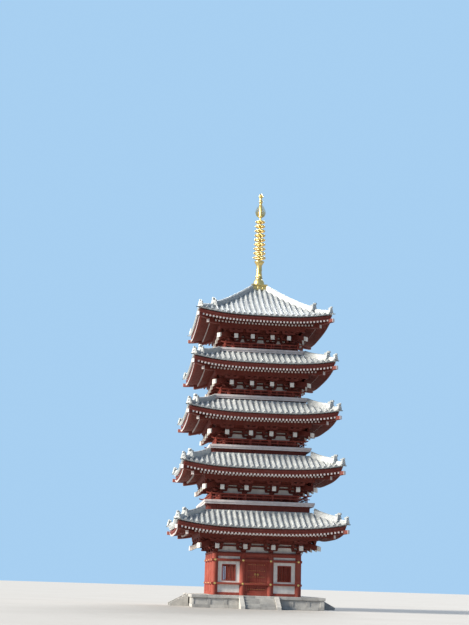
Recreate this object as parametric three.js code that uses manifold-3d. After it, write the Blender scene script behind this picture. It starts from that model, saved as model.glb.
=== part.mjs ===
// A square five-storey timber pagoda on a stone platform, with tiled roofs and a gilt finial.
// Millimetres, +Z up, the front towards -Y, the origin on the ground under the middle.
// Nearly every size is counted in rafter pitches, as the carpenters of such a tower do.

import * as THREE from 'three';
import { mergeVertices } from 'three/addons/utils/BufferGeometryUtils.js';
import Module from 'manifold-3d';

const wasm = await Module();
wasm.setup();

// Driving dimensions
const RAFTER_PITCH = 240;
const GAP = 0.3;
const pitches = (count) => count * RAFTER_PITCH;

const STOREY_COUNT = 5;
const BODY_WIDTHS = [24, 22, 20, 18, 16].map(pitches);
const MIDDLE_BAYS = [8, 8, 6, 6, 6].map(pitches);
const EAVE_OVERHANG = pitches(12);
const EAVE_HEIGHTS = [21.5, 38.1, 54.1, 69, 83.4].map(pitches);
const CORNER_LIFTS = [430, 420, 410, 400, 400];
const ROOF_RISES = [5.3, 5.2, 5, 4.7].map(pitches);
const TOP_ROOF_RISE = pitches(12.9);
const TILE_EDGE = pitches(0.7);
const ROOF_THICKNESS = pitches(1);
const TILE_ROW = { spacing: pitches(1.6), every: 3, half: 100, height: 75, cornerClear: 300 };

const PLATFORM = { half: pitches(18.6), height: 840, coping: 200, lip: 60 };
const STEPS = { risers: 5, going: 280, width: 2100, cheek: 300 };

const COLUMN_RADIUS = { ground: 225, upper: 190 };
const COLUMN_SIDES = { ground: 8, upper: 6 };
const PLATE_BOTTOM = -pitches(6.4);
const PLATE_TOP = -pitches(6);
const WALL_OUTSIDE = -pitches(0.25);
const WALL_THICKNESS = 140;
const WALL_TOP = pitches(1.15);
const UPPER_BODY_FOOT = pitches(1.9);

const BALCONY = {
  reach: pitches(5),
  top: -pitches(8.2),
  deck: -pitches(8.5),
  deckThickness: pitches(0.6),
  edgeBottom: -pitches(9.7),
  bandOuter: pitches(3.6),
  bandInner: pitches(2.6),
};
const RAILING = { reach: pitches(3), top: -pitches(6.1), rail: 80, middleRail: 40, post: 60 };

const ROBAN = { half: pitches(2.3), height: pitches(1.9), lip: 60 };
const FINIAL = {
  bowl: pitches(2.1),
  lotus: pitches(6),
  ringsFoot: pitches(1.2),
  ringPitch: pitches(1.5),
  ringCount: 9,
  ringRadius: pitches(1.95),
  ringShrink: 14,
  mastRadius: 85,
  flame: pitches(4.4),
  ball: pitches(0.62),
  jewel: pitches(1.6),
};
const ROUND_SIDES = 16;

const COLOURS = {
  stone: 0x8f8a80,
  timber: 0x8c3a2b,
  plaster: 0xe6e2d6,
  tile: 0xaeb4b6,
  gilt: 0xc9a53c,
};
const roughMaterial = (colour, roughness, metalness = 0) =>
  new THREE.MeshStandardMaterial({ color: colour, roughness, metalness });
const materials = {
  stone: () => roughMaterial(COLOURS.stone, 0.9),
  timber: () => roughMaterial(COLOURS.timber, 0.6),
  plaster: () => roughMaterial(COLOURS.plaster, 0.85),
  tile: () => roughMaterial(COLOURS.tile, 0.55),
  gilt: () => roughMaterial(COLOURS.gilt, 0.3, 1),
};

const pagoda = new THREE.Group();

function addPiece(name, geometry, material) {
  const mesh = new THREE.Mesh(geometry, materials[material]());
  mesh.name = name;
  pagoda.add(mesh);
}

// Geometry helpers

// Only positions are kept, shared vertices are merged, empty triangles go, and faces point out.
function closedSurface(geometry) {
  const bare = geometry.clone();
  for (const name of Object.keys(bare.attributes)) {
    if (name !== 'position') bare.deleteAttribute(name);
  }
  const merged = mergeVertices(bare, 1e-3);
  const kept = [];
  const source = merged.index.array;
  for (let i = 0; i < source.length; i += 3) {
    const [a, b, c] = [source[i], source[i + 1], source[i + 2]];
    if (a !== b && b !== c && c !== a) kept.push(a, b, c);
  }
  const corner = [new THREE.Vector3(), new THREE.Vector3(), new THREE.Vector3()];
  let volume = 0;
  for (let i = 0; i < kept.length; i += 3) {
    corner.forEach((v, n) => v.fromBufferAttribute(merged.attributes.position, kept[i + n]));
    volume += corner[0].dot(corner[1].cross(corner[2]));
  }
  if (volume < 0) kept.reverse();
  merged.setIndex(kept);
  merged.computeVertexNormals();
  return merged;
}

function toSolid(geometry) {
  const surface = closedSurface(geometry);
  const vertProperties = Float32Array.from(surface.attributes.position.array);
  const triVerts = Uint32Array.from(surface.index.array);
  return new wasm.Manifold(new wasm.Mesh({ numProp: 3, vertProperties, triVerts }));
}

function toGeometry(solid) {
  const mesh = solid.getMesh();
  const geometry = new THREE.BufferGeometry();
  geometry.setAttribute('position', new THREE.BufferAttribute(mesh.vertProperties, 3));
  geometry.setIndex(new THREE.BufferAttribute(mesh.triVerts, 1));
  geometry.computeVertexNormals();
  return geometry;
}

function joined(geometries) {
  return toGeometry(geometries.map(toSolid).reduce((sum, solid) => sum.add(solid)));
}

function cut(geometry, cutters) {
  return toGeometry(cutters.map(toSolid).reduce((rest, solid) => rest.subtract(solid),
    toSolid(geometry)));
}

function block(x0, x1, y0, y1, z0, z1) {
  return new THREE.BoxGeometry(x1 - x0, y1 - y0, z1 - z0)
    .translate((x0 + x1) / 2, (y0 + y1) / 2, (z0 + z1) / 2);
}

// Side 0 is the front (-Y), 1 the right (+X), 2 the back and 3 the left.
function onSide(geometry, side) {
  return geometry.clone().rotateZ(side * Math.PI / 2);
}

// A profile of [half-width, height, kind] points is carried round a square.
// across(halfWidth, kind) lists the places along a side, from its first corner on, and
// raise(halfWidth, place, kind) lifts a point.
const cornersOnly = (half) => [-half];
function squareLathe(profile, across = cornersOnly, raise = () => 0) {
  const points = profile.map(([half, z]) => new THREE.Vector2(half, z));
  const stations = across(1).length;
  const geometry = new THREE.LatheGeometry(points, 4 * stations).rotateX(Math.PI / 2);
  const position = geometry.attributes.position;
  for (let i = 0; i < position.count; i += 1) {
    const step = Math.floor(i / points.length);
    const [half, z, kind] = profile[i % points.length];
    const x = across(half, kind)[step % stations];
    const place = new THREE.Vector3(x, -half, z + raise(half, x, kind))
      .applyAxisAngle(new THREE.Vector3(0, 0, 1), Math.floor(step / stations) * Math.PI / 2);
    position.setXYZ(i, place.x, place.y, place.z);
  }
  return closedSurface(geometry);
}

const squareRing = (inner, outer, z0, z1) =>
  squareLathe([[inner, z0], [outer, z0], [outer, z1], [inner, z1], [inner, z0]]);

function roundLathe(profile, sides = ROUND_SIDES) {
  const points = profile.map(([r, z]) => new THREE.Vector2(r, z));
  return closedSurface(new THREE.LatheGeometry(points, sides).rotateX(Math.PI / 2));
}

// An outline of [outward, height] points in the upright plane through the axis, given a thickness.
// It faces -Y before it is turned.
function plate(outline, thickness) {
  const shape = new THREE.Shape(outline.map(([out, z]) => new THREE.Vector2(out, z)));
  return new THREE.ExtrudeGeometry(shape, { depth: thickness, bevelEnabled: false })
    .translate(0, 0, -thickness / 2)
    .rotateX(Math.PI / 2)
    .rotateZ(-Math.PI / 2);
}

// Storey sizes

const storeys = BODY_WIDTHS.map((width, index) => {
  const half = width / 2;
  return {
    index,
    number: index + 1,
    half,
    bay: MIDDLE_BAYS[index] / 2,
    eave: half + EAVE_OVERHANG,
    edge: EAVE_HEIGHTS[index],
    lift: CORNER_LIFTS[index],
  };
});

// The eaves curve up towards the corners, from the outer purlin outwards.
const PURLIN_REACH = pitches(4.6);
function cornerLift(storey) {
  const start = storey.half + PURLIN_REACH;
  return (half, place) => {
    if (half <= start) return 0;
    const out = Math.min((half - start) / (storey.eave - start), 1);
    return storey.lift * out ** 1.5 * Math.abs(place / half) ** 3;
  };
}

// Where the eaves bend along a side, as shares of the way from its middle to its corners
const EAVE_BENDS = [-1, -0.7, 0, 0.7, 1];
const eaveStations = (half) => EAVE_BENDS.slice(0, -1).map((along) => along * half);

// The places of a side's four columns along it
const columnPlaces = (storey) => [-storey.half, -storey.bay, storey.bay, storey.half];

// Stone base

function stonePlatform() {
  const { half, height, coping, lip } = PLATFORM;
  return squareLathe([
    [0, 0],
    [half, 0],
    [half, height - coping],
    [half + lip, height - coping],
    [half + lip, height],
    [0, height],
  ]);
}

function stepFlight(side) {
  const { risers, going, width, cheek } = STEPS;
  const rise = PLATFORM.height / risers;
  const start = PLATFORM.half + PLATFORM.lip + GAP;
  const end = start + going * (risers - 1);
  const outline = [[start, 0], [end, 0]];
  for (let step = 1; step < risers; step += 1) {
    const out = end - going * (step - 1);
    outline.push([out, rise * step]);
    outline.push([out - going, rise * step]);
  }
  const treads = plate(outline, width);
  const slope = [[start, 0], [end + cheek / 2, 0], [end + cheek / 2, rise], [start, PLATFORM.height]];
  const cheeks = [-1, 1].map((hand) =>
    plate(slope, cheek).translate(hand * (width + cheek - 2) / 2, 0, 0));
  return onSide(joined([treads, ...cheeks]), side);
}

// Ground storey

const ground = storeys[0];
const FLOOR = PLATFORM.height;
const GROUND_PLATE = ground.edge + PLATE_BOTTOM;
const BEAM = { half: 120, sill: 180, head: 200 };
const CEILING = 60;
const RAIL = { reach: 250, height: 170 };
const PANEL_HALF = 60;
const WINDOW = { half: 480, bottom: FLOOR + 950, top: FLOOR + 2050 };
const DOOR = { head: FLOOR + 2250, jamb: 130, depth: 90, leaf: 30, seam: 12 };

function column(radius, sides, z0, z1) {
  return new THREE.CylinderGeometry(radius, radius, z1 - z0, sides)
    .rotateX(Math.PI / 2)
    .rotateZ(Math.PI / sides)
    .translate(0, 0, (z0 + z1) / 2);
}

function columnsRound(storey, radius, sides, z0, z1) {
  const columns = [];
  for (let side = 0; side < 4; side += 1) {
    for (const place of columnPlaces(storey).slice(0, 3)) {
      columns.push(onSide(column(radius, sides, z0, z1).translate(place, -storey.half, 0), side));
    }
  }
  return columns;
}

const beamRing = (half, z0, z1) => squareRing(half - BEAM.half, half + BEAM.half, z0, z1);

function groundFrame() {
  return joined([
    beamRing(ground.half, FLOOR + GAP, FLOOR + BEAM.sill),
    beamRing(ground.half, GROUND_PLATE - BEAM.head, GROUND_PLATE - GAP),
    squareRing(ground.half + PANEL_HALF + GAP, ground.half + RAIL.reach, DOOR.head,
      DOOR.head + RAIL.height),
    ...columnsRound(ground, COLUMN_RADIUS.ground, COLUMN_SIDES.ground, FLOOR + GAP,
      GROUND_PLATE - GAP),
  ]);
}

const panelBottom = FLOOR + BEAM.sill + GAP;
const panelTop = GROUND_PLATE - BEAM.head - GAP;
const columnClearance = (x) =>
  column(COLUMN_RADIUS.ground + GAP, COLUMN_SIDES.ground, FLOOR, GROUND_PLATE)
    .translate(x, -ground.half, 0);

// A plaster panel between two columns, with its window cut through
function windowWall(side, hand) {
  const inner = hand * ground.bay;
  const outer = hand * ground.half;
  const middle = (inner + outer) / 2;
  const face = [-ground.half - PANEL_HALF, -ground.half + PANEL_HALF];
  const panel = block(Math.min(inner, outer), Math.max(inner, outer), ...face, panelBottom, panelTop);
  const window = block(middle - WINDOW.half, middle + WINDOW.half, face[0] - 10, face[1] + 10,
    WINDOW.bottom, WINDOW.top);
  return onSide(cut(panel, [window, columnClearance(inner), columnClearance(outer)]), side);
}

// The middle bay: a framed pair of closed doors, with a boarded panel over them
function doorway(side) {
  const y = -ground.half;
  const frame = block(-ground.bay, ground.bay, y - PANEL_HALF, y + PANEL_HALF, panelBottom, panelTop);
  const clear = ground.bay - COLUMN_RADIUS.ground - DOOR.jamb;
  const recess = block(-clear, clear, y - PANEL_HALF - 1, y - PANEL_HALF + DOOR.depth - DOOR.leaf,
    panelBottom + DOOR.jamb, DOOR.head - DOOR.jamb / 2);
  const seam = block(-DOOR.seam / 2, DOOR.seam / 2, y - PANEL_HALF - 1, y + DOOR.leaf / 2 + 10,
    panelBottom + DOOR.jamb, DOOR.head - DOOR.jamb / 2);
  return onSide(cut(frame, [recess, seam, columnClearance(-ground.bay), columnClearance(ground.bay)]),
    side);
}

// Bracket tier: plate, wall band, stepped arms and outer purlin, and the ground room's ceiling.
// Arms and purlins are drawn in pitches: [beyond the column line, above the eave edge].

const ARM_THICKNESS = pitches(0.9);
const ARM_TOP = { straight: -1.401, diagonal: -1.2 };
const armOutline = (top) => [
  [-0.4, -5.99], [0.8, -5.99], [2.05, -5.35], [2.05, -4.75], [3.5, -4.4], [5.3, -5.05],
  [5.3, -4], [5.05, top], [4.15, top], [4.15, -3.5], [-0.4, -1.6],
];
const PURLIN_OUTLINE = [[4.1, -1.4], [5.1, -1.4], [5.1, -0.575], [4.1, -0.255], [4.1, -1.4]];

function bracketArm(storey, top, stretch = 1) {
  return plate(armOutline(top).map(([out, z]) =>
    [(storey.half + pitches(out)) * stretch, storey.edge + pitches(z)]), ARM_THICKNESS);
}

function bracketTier(storey) {
  const { half, edge } = storey;
  const wall = half + WALL_OUTSIDE;
  const pieces = [
    squareRing(half - pitches(1), half + pitches(0.9), edge + PLATE_BOTTOM, edge + PLATE_TOP),
    squareRing(wall - WALL_THICKNESS, wall, edge + PLATE_TOP - 1, edge + WALL_TOP - GAP),
    squareLathe(PURLIN_OUTLINE.map(([out, z]) => [half + pitches(out), edge + pitches(z) - GAP])),
  ];
  if (storey === ground) {
    const ceiling = half - pitches(1) + 1;
    pieces.push(block(-ceiling, ceiling, -ceiling, ceiling, edge + PLATE_BOTTOM,
      edge + PLATE_BOTTOM + CEILING));
  }
  for (let side = 0; side < 4; side += 1) {
    for (const place of columnPlaces(storey)) {
      pieces.push(onSide(bracketArm(storey, ARM_TOP.straight).translate(place, 0, 0), side));
    }
    pieces.push(bracketArm(storey, ARM_TOP.diagonal, Math.SQRT2).rotateZ((side + 0.5) * Math.PI / 2));
  }
  return joined(pieces);
}

// Eaves: a two-step rafter deck from the wall to the fascia, level over the wall

// The deck's top stops a hair below the roof where the two meet, at height 0.
const FASCIA = { inner: 11.1, outer: 11.75 };
const RAFTER_END = 11.5;
const DECK_OUTLINE = [
  [RAFTER_END, -1.5], [8, -0.8], [8, -1.5], [0, 1.06], [-0.2, 1.15], [-2.3, 1.15], [-2.3, 1.9],
  [-0.9, 1.9], [FASCIA.inner, 0], [FASCIA.outer, 0], [FASCIA.outer, -0.45], [RAFTER_END, -0.9],
  [RAFTER_END, -1.5],
];

function eavesDeck(storey) {
  return squareLathe(DECK_OUTLINE.map(([out, z]) =>
    [storey.half + pitches(out), storey.edge + pitches(z) - (z === 0 ? GAP : 0)]),
  eaveStations, cornerLift(storey));
}

// Roofs

// The tiled surface climbs from the eave edge, steeper as it nears the top.
// A first slope of 1 would be straight.
const FIRST_SLOPE = { lower: 0.85, top: 0.7 };

function roofCurve(storey) {
  const next = storeys[storey.index + 1];
  const inner = next ? next.half + BALCONY.reach + GAP : ROBAN.half + pitches(0.1);
  const rise = next ? ROOF_RISES[storey.index] : TOP_ROOF_RISE;
  const firstSlope = next ? FIRST_SLOPE.lower : FIRST_SLOPE.top;
  const height = (half) => {
    const t = Math.min((storey.eave - half) / (storey.eave - inner), 1);
    const share = firstSlope * t + (1 - firstSlope) * t * t;
    return storey.edge + TILE_EDGE + (rise - TILE_EDGE) * share;
  };
  return { inner, height, top: storey.edge + rise };
}

// Places of the main rows of round tiles along a side: every third row, the same on both hands
function rowPlaces(storey) {
  const count = Math.round(2 * storey.eave / TILE_ROW.spacing);
  const apart = TILE_ROW.every * 2 * storey.eave / count;
  const last = storey.eave - TILE_ROW.cornerClear;
  const places = [];
  for (let place = count % 2 ? 0 : apart / 2; place < last; place += apart) {
    places.push(place);
    if (place > 0) places.unshift(-place);
  }
  return places;
}

// Where the underside bends, as shares of the way from the eave to the roof's top
const UNDERSIDE_BENDS = { lower: [1], top: [1, 0.7, 0.4] };

// A 'ridged' ring rises over each main row, and a 'flat' one has the same places. The others are
// plain. Rows stay straight because a ring stands wherever one of them meets the hip.
function roofProfile(storey, rows) {
  const { inner, height, top } = roofCurve(storey);
  const next = storeys[storey.index + 1];
  const end = next ? next.half + WALL_OUTSIDE + GAP : 0;
  const meetings = rows.filter((place) => place > inner + TILE_ROW.cornerClear).reverse();
  const bends = next ? UNDERSIDE_BENDS.lower : UNDERSIDE_BENDS.top;
  const under = bends.map((t) => storey.eave + (inner - storey.eave) * t);
  const profile = [
    [storey.eave, storey.edge],
    ...[storey.eave, ...meetings, inner].map((half) => [half, height(half), 'ridged']),
    [inner, top, 'flat'],
    [end, top],
    [end, top - ROOF_THICKNESS],
    ...under.map((half) => [half, height(half) - ROOF_THICKNESS]),
    [storey.half + pitches(FASCIA.inner), storey.edge],
    [storey.half + pitches(FASCIA.outer), storey.edge],
  ];
  return next ? [...profile, profile[0]] : reordered(profile, end);
}

// The top roof closes on the axis, so its outline has to begin and end there.
function reordered(profile, axis) {
  const first = profile.findLastIndex(([half]) => half === axis);
  return [...profile.slice(first), ...profile.slice(0, first)];
}

// On a ridged or flat ring each row has three places, its two feet and its crown, and a plain ring
// has only the places where the eaves bend.
function tiledShell(storey) {
  const rows = rowPlaces(storey);
  const places = rows.flatMap((row) => [row - TILE_ROW.half, row, row + TILE_ROW.half]);
  const nearestBend = (share) => EAVE_BENDS.reduce((best, bend) =>
    Math.abs(bend - share) < Math.abs(best - share) ? bend : best);
  const bends = places.map((place) => nearestBend(place / storey.eave));
  const lift = cornerLift(storey);
  const across = (half, kind) => [-half, ...places.map((place, n) =>
    kind ? Math.min(Math.max(place, -half), half) : bends[n] * half)];
  const raise = (half, place, kind) =>
    lift(half, place) + (kind === 'ridged' && rows.includes(place) ? TILE_ROW.height : 0);
  return squareLathe(roofProfile(storey, rows), across, raise);
}

// Hip ridge along the diagonal: a tall upper run and a low lower one, each ending in a raised tile.
// Its places are shares of the way from the roof's top to its corner.
const HIP = {
  width: pitches(1.1),
  sunk: 60,
  start: pitches(0.9),
  tall: pitches(1.7),
  low: pitches(0.95),
  crest: pitches(0.6),
  turn: 0.72,
  end: 0.97,
};

function hipRidge(storey) {
  const { inner, height } = roofCurve(storey);
  const lift = cornerLift(storey);
  const at = (t) => inner + (storey.eave - inner) * t;
  const surface = (t) => height(at(t)) + lift(at(t), at(t));
  const foot = [0, 0.25, 0.5, HIP.turn, 0.85, HIP.end].map((t) => [t, -HIP.sunk]);
  const crown = [
    [0, HIP.start], [0.08, HIP.tall], [0.3, HIP.tall], [0.64, HIP.tall], [HIP.turn, HIP.tall + HIP.crest],
    [HIP.turn, HIP.low], [0.9, HIP.low], [HIP.end, HIP.low + HIP.crest],
  ];
  const outline = [...foot, ...crown.reverse()].map(([t, z]) => [at(t) * Math.SQRT2, surface(t) + z]);
  return plate(outline, HIP.width);
}

function roof(storey) {
  const hips = [0, 1, 2, 3].map((corner) => hipRidge(storey).rotateZ((corner + 0.5) * Math.PI / 2));
  return joined([tiledShell(storey), ...hips]);
}

// Upper storeys: a hollow body with its floor, the balcony round it, and the railing

const UPPER_WINDOW = { side: pitches(1.3), sill: 130, head: 110 };
const CUT_PAST = 10;

function upperBody(storey) {
  const { half, edge, index } = storey;
  const foot = storeys[index - 1].edge + UPPER_BODY_FOOT + GAP;
  const head = edge + PLATE_BOTTOM - GAP;
  const outside = half + WALL_OUTSIDE;
  const floor = edge + BALCONY.deck;
  const inside = outside - WALL_THICKNESS;
  const shell = squareLathe([
    [0, floor - WALL_THICKNESS],
    [inside, floor - WALL_THICKNESS],
    [inside, foot],
    [outside, foot],
    [outside, head],
    [inside, head],
    [inside, floor],
    [0, floor],
  ]);
  const columns = columnsRound(storey, COLUMN_RADIUS.upper, COLUMN_SIDES.upper, floor + GAP, head);
  const windows = [];
  const windowHalf = (half - storey.bay) / 2 - UPPER_WINDOW.side;
  for (let side = 0; side < 4; side += 1) {
    for (const hand of [-1, 1]) {
      const middle = hand * (half + storey.bay) / 2;
      windows.push(onSide(block(middle - windowHalf, middle + windowHalf, -outside - CUT_PAST,
        -inside + CUT_PAST, floor + UPPER_WINDOW.sill, head - UPPER_WINDOW.head), side));
    }
  }
  return cut(joined([shell, ...columns]), windows);
}

function balcony(storey) {
  const { half, edge, index } = storey;
  const inside = half + COLUMN_RADIUS.upper + GAP;
  const roofTop = storeys[index - 1].edge + ROOF_RISES[index - 1] + GAP;
  const deck = edge + BALCONY.deck;
  const under = deck - BALCONY.deckThickness;
  const rim = half + BALCONY.reach;
  const rimInner = rim - pitches(0.5);
  return squareLathe([
    [inside, deck],
    [rimInner, deck],
    [rimInner, edge + BALCONY.top],
    [rim, edge + BALCONY.top],
    [rim, edge + BALCONY.edgeBottom + GAP],
    [rimInner, edge + BALCONY.edgeBottom + GAP],
    [rimInner, under],
    [half + BALCONY.bandOuter, under],
    [half + BALCONY.bandOuter, roofTop],
    [half + BALCONY.bandInner, roofTop],
    [half + BALCONY.bandInner, under],
    [inside, under],
    [inside, deck],
  ]);
}

function railing(storey) {
  const { edge } = storey;
  const line = storey.half + RAILING.reach;
  const deck = edge + BALCONY.deck + GAP;
  const top = edge + RAILING.top;
  const rail = (z, thick) => squareRing(line - thick / 2, line + thick / 2, z, z + thick);
  const posts = [];
  for (let side = 0; side < 4; side += 1) {
    for (const place of [-line, -storey.bay, storey.bay]) {
      const thick = RAILING.post / 2;
      posts.push(onSide(block(place - thick, place + thick, -line - thick, -line + thick,
        deck + RAILING.rail / 2, top - RAILING.rail / 2), side));
    }
  }
  return joined([
    rail(deck, RAILING.rail),
    rail((deck + top) / 2, RAILING.middleRail),
    rail(top - RAILING.rail, RAILING.rail),
    ...posts,
  ]);
}

// Finial, from the square box up

const finialBase = storeys[STOREY_COUNT - 1].edge + TOP_ROOF_RISE + GAP;
const bowlFoot = finialBase + ROBAN.height + GAP;
const lotusFoot = bowlFoot + FINIAL.bowl + GAP;
const mastFoot = lotusFoot + FINIAL.lotus + GAP;
const firstRing = mastFoot + FINIAL.ringsFoot;
const flameFoot = firstRing + FINIAL.ringPitch * (FINIAL.ringCount - 1) + pitches(1.5);
const ballMiddle = flameFoot + FINIAL.flame + FINIAL.ball + pitches(0.35);
const jewelFoot = ballMiddle + FINIAL.ball + pitches(0.5);

function finialBox() {
  const { half, height, lip } = ROBAN;
  return squareLathe([
    [0, finialBase], [half, finialBase], [half, finialBase + height * 0.75],
    [half + lip, finialBase + height * 0.75], [half + lip, finialBase + height],
    [0, finialBase + height],
  ]);
}

function finialBowl() {
  const top = bowlFoot + FINIAL.bowl;
  return roundLathe([
    [0, bowlFoot], [pitches(1.75), bowlFoot], [pitches(1.7), bowlFoot + FINIAL.bowl * 0.3],
    [pitches(1.4), bowlFoot + FINIAL.bowl * 0.72], [pitches(1), top], [0, top],
  ]);
}

function finialLotus() {
  const top = lotusFoot + FINIAL.lotus;
  return roundLathe([
    [0, lotusFoot], [pitches(1), lotusFoot], [pitches(0.85), lotusFoot + pitches(0.6)],
    [pitches(0.85), top - pitches(1.4)], [pitches(1.15), top - pitches(0.9)],
    [pitches(1.75), top - pitches(0.1)], [pitches(1.7), top], [0, top],
  ]);
}

const onCircle = (radius, angle) =>
  new THREE.Vector2(radius * Math.cos(angle), radius * Math.sin(angle));
const arcPoints = (radius, from, to, count) =>
  Array.from({ length: count + 1 }, (_, n) => onCircle(radius, from + ((to - from) * n) / count));

// One openwork ring: a hub and a rim with four spokes between them, as one flat casting
const RING = { height: pitches(0.4), rim: pitches(0.3), hub: 130, spoke: 0.14, hubSpoke: 0.5 };

function finialRing(radius, z) {
  const quarter = Math.PI / 2;
  const wheel = new THREE.Shape(arcPoints(radius, 0, 2 * Math.PI, 12).slice(0, -1));
  for (let n = 0; n < 4; n += 1) {
    const from = n * quarter;
    const to = from + quarter;
    wheel.holes.push(new THREE.Path([
      ...arcPoints(radius - RING.rim, from + RING.spoke, to - RING.spoke, 2),
      ...arcPoints(RING.hub, to - RING.hubSpoke, from + RING.hubSpoke, 1),
    ]));
  }
  return new THREE.ExtrudeGeometry(wheel, { depth: RING.height, bevelEnabled: false })
    .translate(0, 0, z - RING.height / 2);
}

function mastAndRings() {
  const rings = [];
  for (let n = 0; n < FINIAL.ringCount; n += 1) {
    rings.push(finialRing(FINIAL.ringRadius - n * FINIAL.ringShrink, firstRing + n * FINIAL.ringPitch));
  }
  const mast = column(FINIAL.mastRadius, 8, mastFoot, jewelFoot - GAP);
  return joined([mast, ...rings]);
}

// Four upright flame-shaped plates round the mast, seen as two crossing ones
function finialFlame() {
  const thickness = 45;
  const h = FINIAL.flame;
  const reach = pitches(1.7);
  const outline = [
    [-0.18, 0], [0.18, 0], [0.62, 0.14], [1, 0.34], [0.78, 0.46], [0.86, 0.6], [0.55, 0.7],
    [0.5, 0.86], [0.12, 1],
  ];
  const mirrored = outline.slice(2).reverse().map(([x, z]) => [-x, z]);
  const shape = [...outline, ...mirrored].map(([x, z]) => [x * reach, flameFoot + z * h]);
  const sheet = plate(shape, thickness);
  const sleeve = column(FINIAL.mastRadius + 40, 8, flameFoot, flameFoot + h);
  const bore = column(FINIAL.mastRadius + GAP, 8, flameFoot - 10, flameFoot + h + 10);
  return cut(joined([sheet, onSide(sheet, 1), sleeve]), [bore]);
}

function finialBall() {
  const bulb = new THREE.SphereGeometry(FINIAL.ball, 12, 8).rotateX(Math.PI / 2)
    .translate(0, 0, ballMiddle);
  const bore = column(FINIAL.mastRadius + GAP, 8, ballMiddle - pitches(1), ballMiddle + pitches(1));
  return cut(bulb, [bore]);
}

function finialJewel() {
  const h = FINIAL.jewel;
  return roundLathe([
    [0, jewelFoot], [pitches(0.35), jewelFoot], [pitches(0.72), jewelFoot + h * 0.3],
    [pitches(0.66), jewelFoot + h * 0.5], [pitches(0.3), jewelFoot + h * 0.76], [0, jewelFoot + h],
  ], 12);
}

// Assembly

const SIDES = ['front', 'right', 'back', 'left'];

addPiece('stone_platform', stonePlatform(), 'stone');
SIDES.forEach((name, side) => addPiece(`${name}_steps`, stepFlight(side), 'stone'));
addPiece('storey_1_frame', groundFrame(), 'timber');
SIDES.forEach((name, side) => {
  addPiece(`${name}_doors`, doorway(side), 'timber');
  addPiece(`${name}_wall_left`, windowWall(side, -1), 'plaster');
  addPiece(`${name}_wall_right`, windowWall(side, 1), 'plaster');
});
for (const storey of storeys) {
  const name = `storey_${storey.number}`;
  if (storey.index > 0) {
    addPiece(`${name}_body`, upperBody(storey), 'timber');
    addPiece(`${name}_balcony`, balcony(storey), 'timber');
    addPiece(`${name}_railing`, railing(storey), 'timber');
  }
  addPiece(`${name}_brackets`, bracketTier(storey), 'timber');
  addPiece(`${name}_eaves`, eavesDeck(storey), 'timber');
  addPiece(`${name}_roof`, roof(storey), 'tile');
}
addPiece('finial_box', finialBox(), 'gilt');
addPiece('finial_bowl', finialBowl(), 'gilt');
addPiece('finial_lotus', finialLotus(), 'gilt');
addPiece('finial_mast_and_rings', mastAndRings(), 'gilt');
addPiece('finial_flame', finialFlame(), 'gilt');
addPiece('finial_ball', finialBall(), 'gilt');
addPiece('finial_jewel', finialJewel(), 'gilt');

export default pagoda;
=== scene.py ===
# The looks of a five-storey timber pagoda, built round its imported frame.
# Metres, +Z up, the front towards -Y. Most lengths are counted in rafter pitches of 0.24 m.

import math
from itertools import product

import bpy
import numpy as np
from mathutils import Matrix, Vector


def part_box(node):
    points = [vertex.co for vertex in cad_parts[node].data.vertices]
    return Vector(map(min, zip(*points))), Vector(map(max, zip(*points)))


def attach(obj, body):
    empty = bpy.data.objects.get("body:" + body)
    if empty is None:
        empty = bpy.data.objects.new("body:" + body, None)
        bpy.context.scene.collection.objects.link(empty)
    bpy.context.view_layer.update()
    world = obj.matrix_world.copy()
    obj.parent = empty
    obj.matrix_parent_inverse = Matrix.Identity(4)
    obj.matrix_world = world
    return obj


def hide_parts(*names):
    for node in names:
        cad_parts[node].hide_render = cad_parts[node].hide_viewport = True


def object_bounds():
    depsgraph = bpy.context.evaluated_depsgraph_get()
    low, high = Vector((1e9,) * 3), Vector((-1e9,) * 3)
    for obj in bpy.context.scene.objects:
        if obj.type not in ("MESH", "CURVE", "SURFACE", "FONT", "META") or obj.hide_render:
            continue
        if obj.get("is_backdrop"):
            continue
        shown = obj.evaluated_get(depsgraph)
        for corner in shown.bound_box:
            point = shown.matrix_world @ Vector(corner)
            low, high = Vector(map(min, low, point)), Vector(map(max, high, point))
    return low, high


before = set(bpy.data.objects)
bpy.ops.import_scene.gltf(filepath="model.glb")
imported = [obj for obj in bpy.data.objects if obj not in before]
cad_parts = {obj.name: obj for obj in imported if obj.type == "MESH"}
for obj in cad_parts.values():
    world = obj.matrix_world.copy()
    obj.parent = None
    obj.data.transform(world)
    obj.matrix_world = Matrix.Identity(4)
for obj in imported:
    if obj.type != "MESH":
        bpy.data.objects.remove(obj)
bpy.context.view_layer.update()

PITCH = 0.24
ROOT = math.sqrt(2)
rng = np.random.default_rng(7)

# Storeys, read from the frame

MIDDLE_BAY_HALVES = [4, 4, 3, 3, 3]
CORNER_LIFTS = [0.43, 0.42, 0.41, 0.40, 0.40]
PLATE_BELOW_EDGE = 6.4 * PITCH
FASCIA_OUT = 11.75 * PITCH
OVERHANG = 12 * PITCH
TILE_BED = 0.7 * PITCH
BALCONY_REACH = 5 * PITCH
LIFT_STARTS = 4.6 * PITCH
FIRST_SLOPE = {"lower": 0.85, "top": 0.7}
APEX_HALF = 2.4 * PITCH


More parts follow.
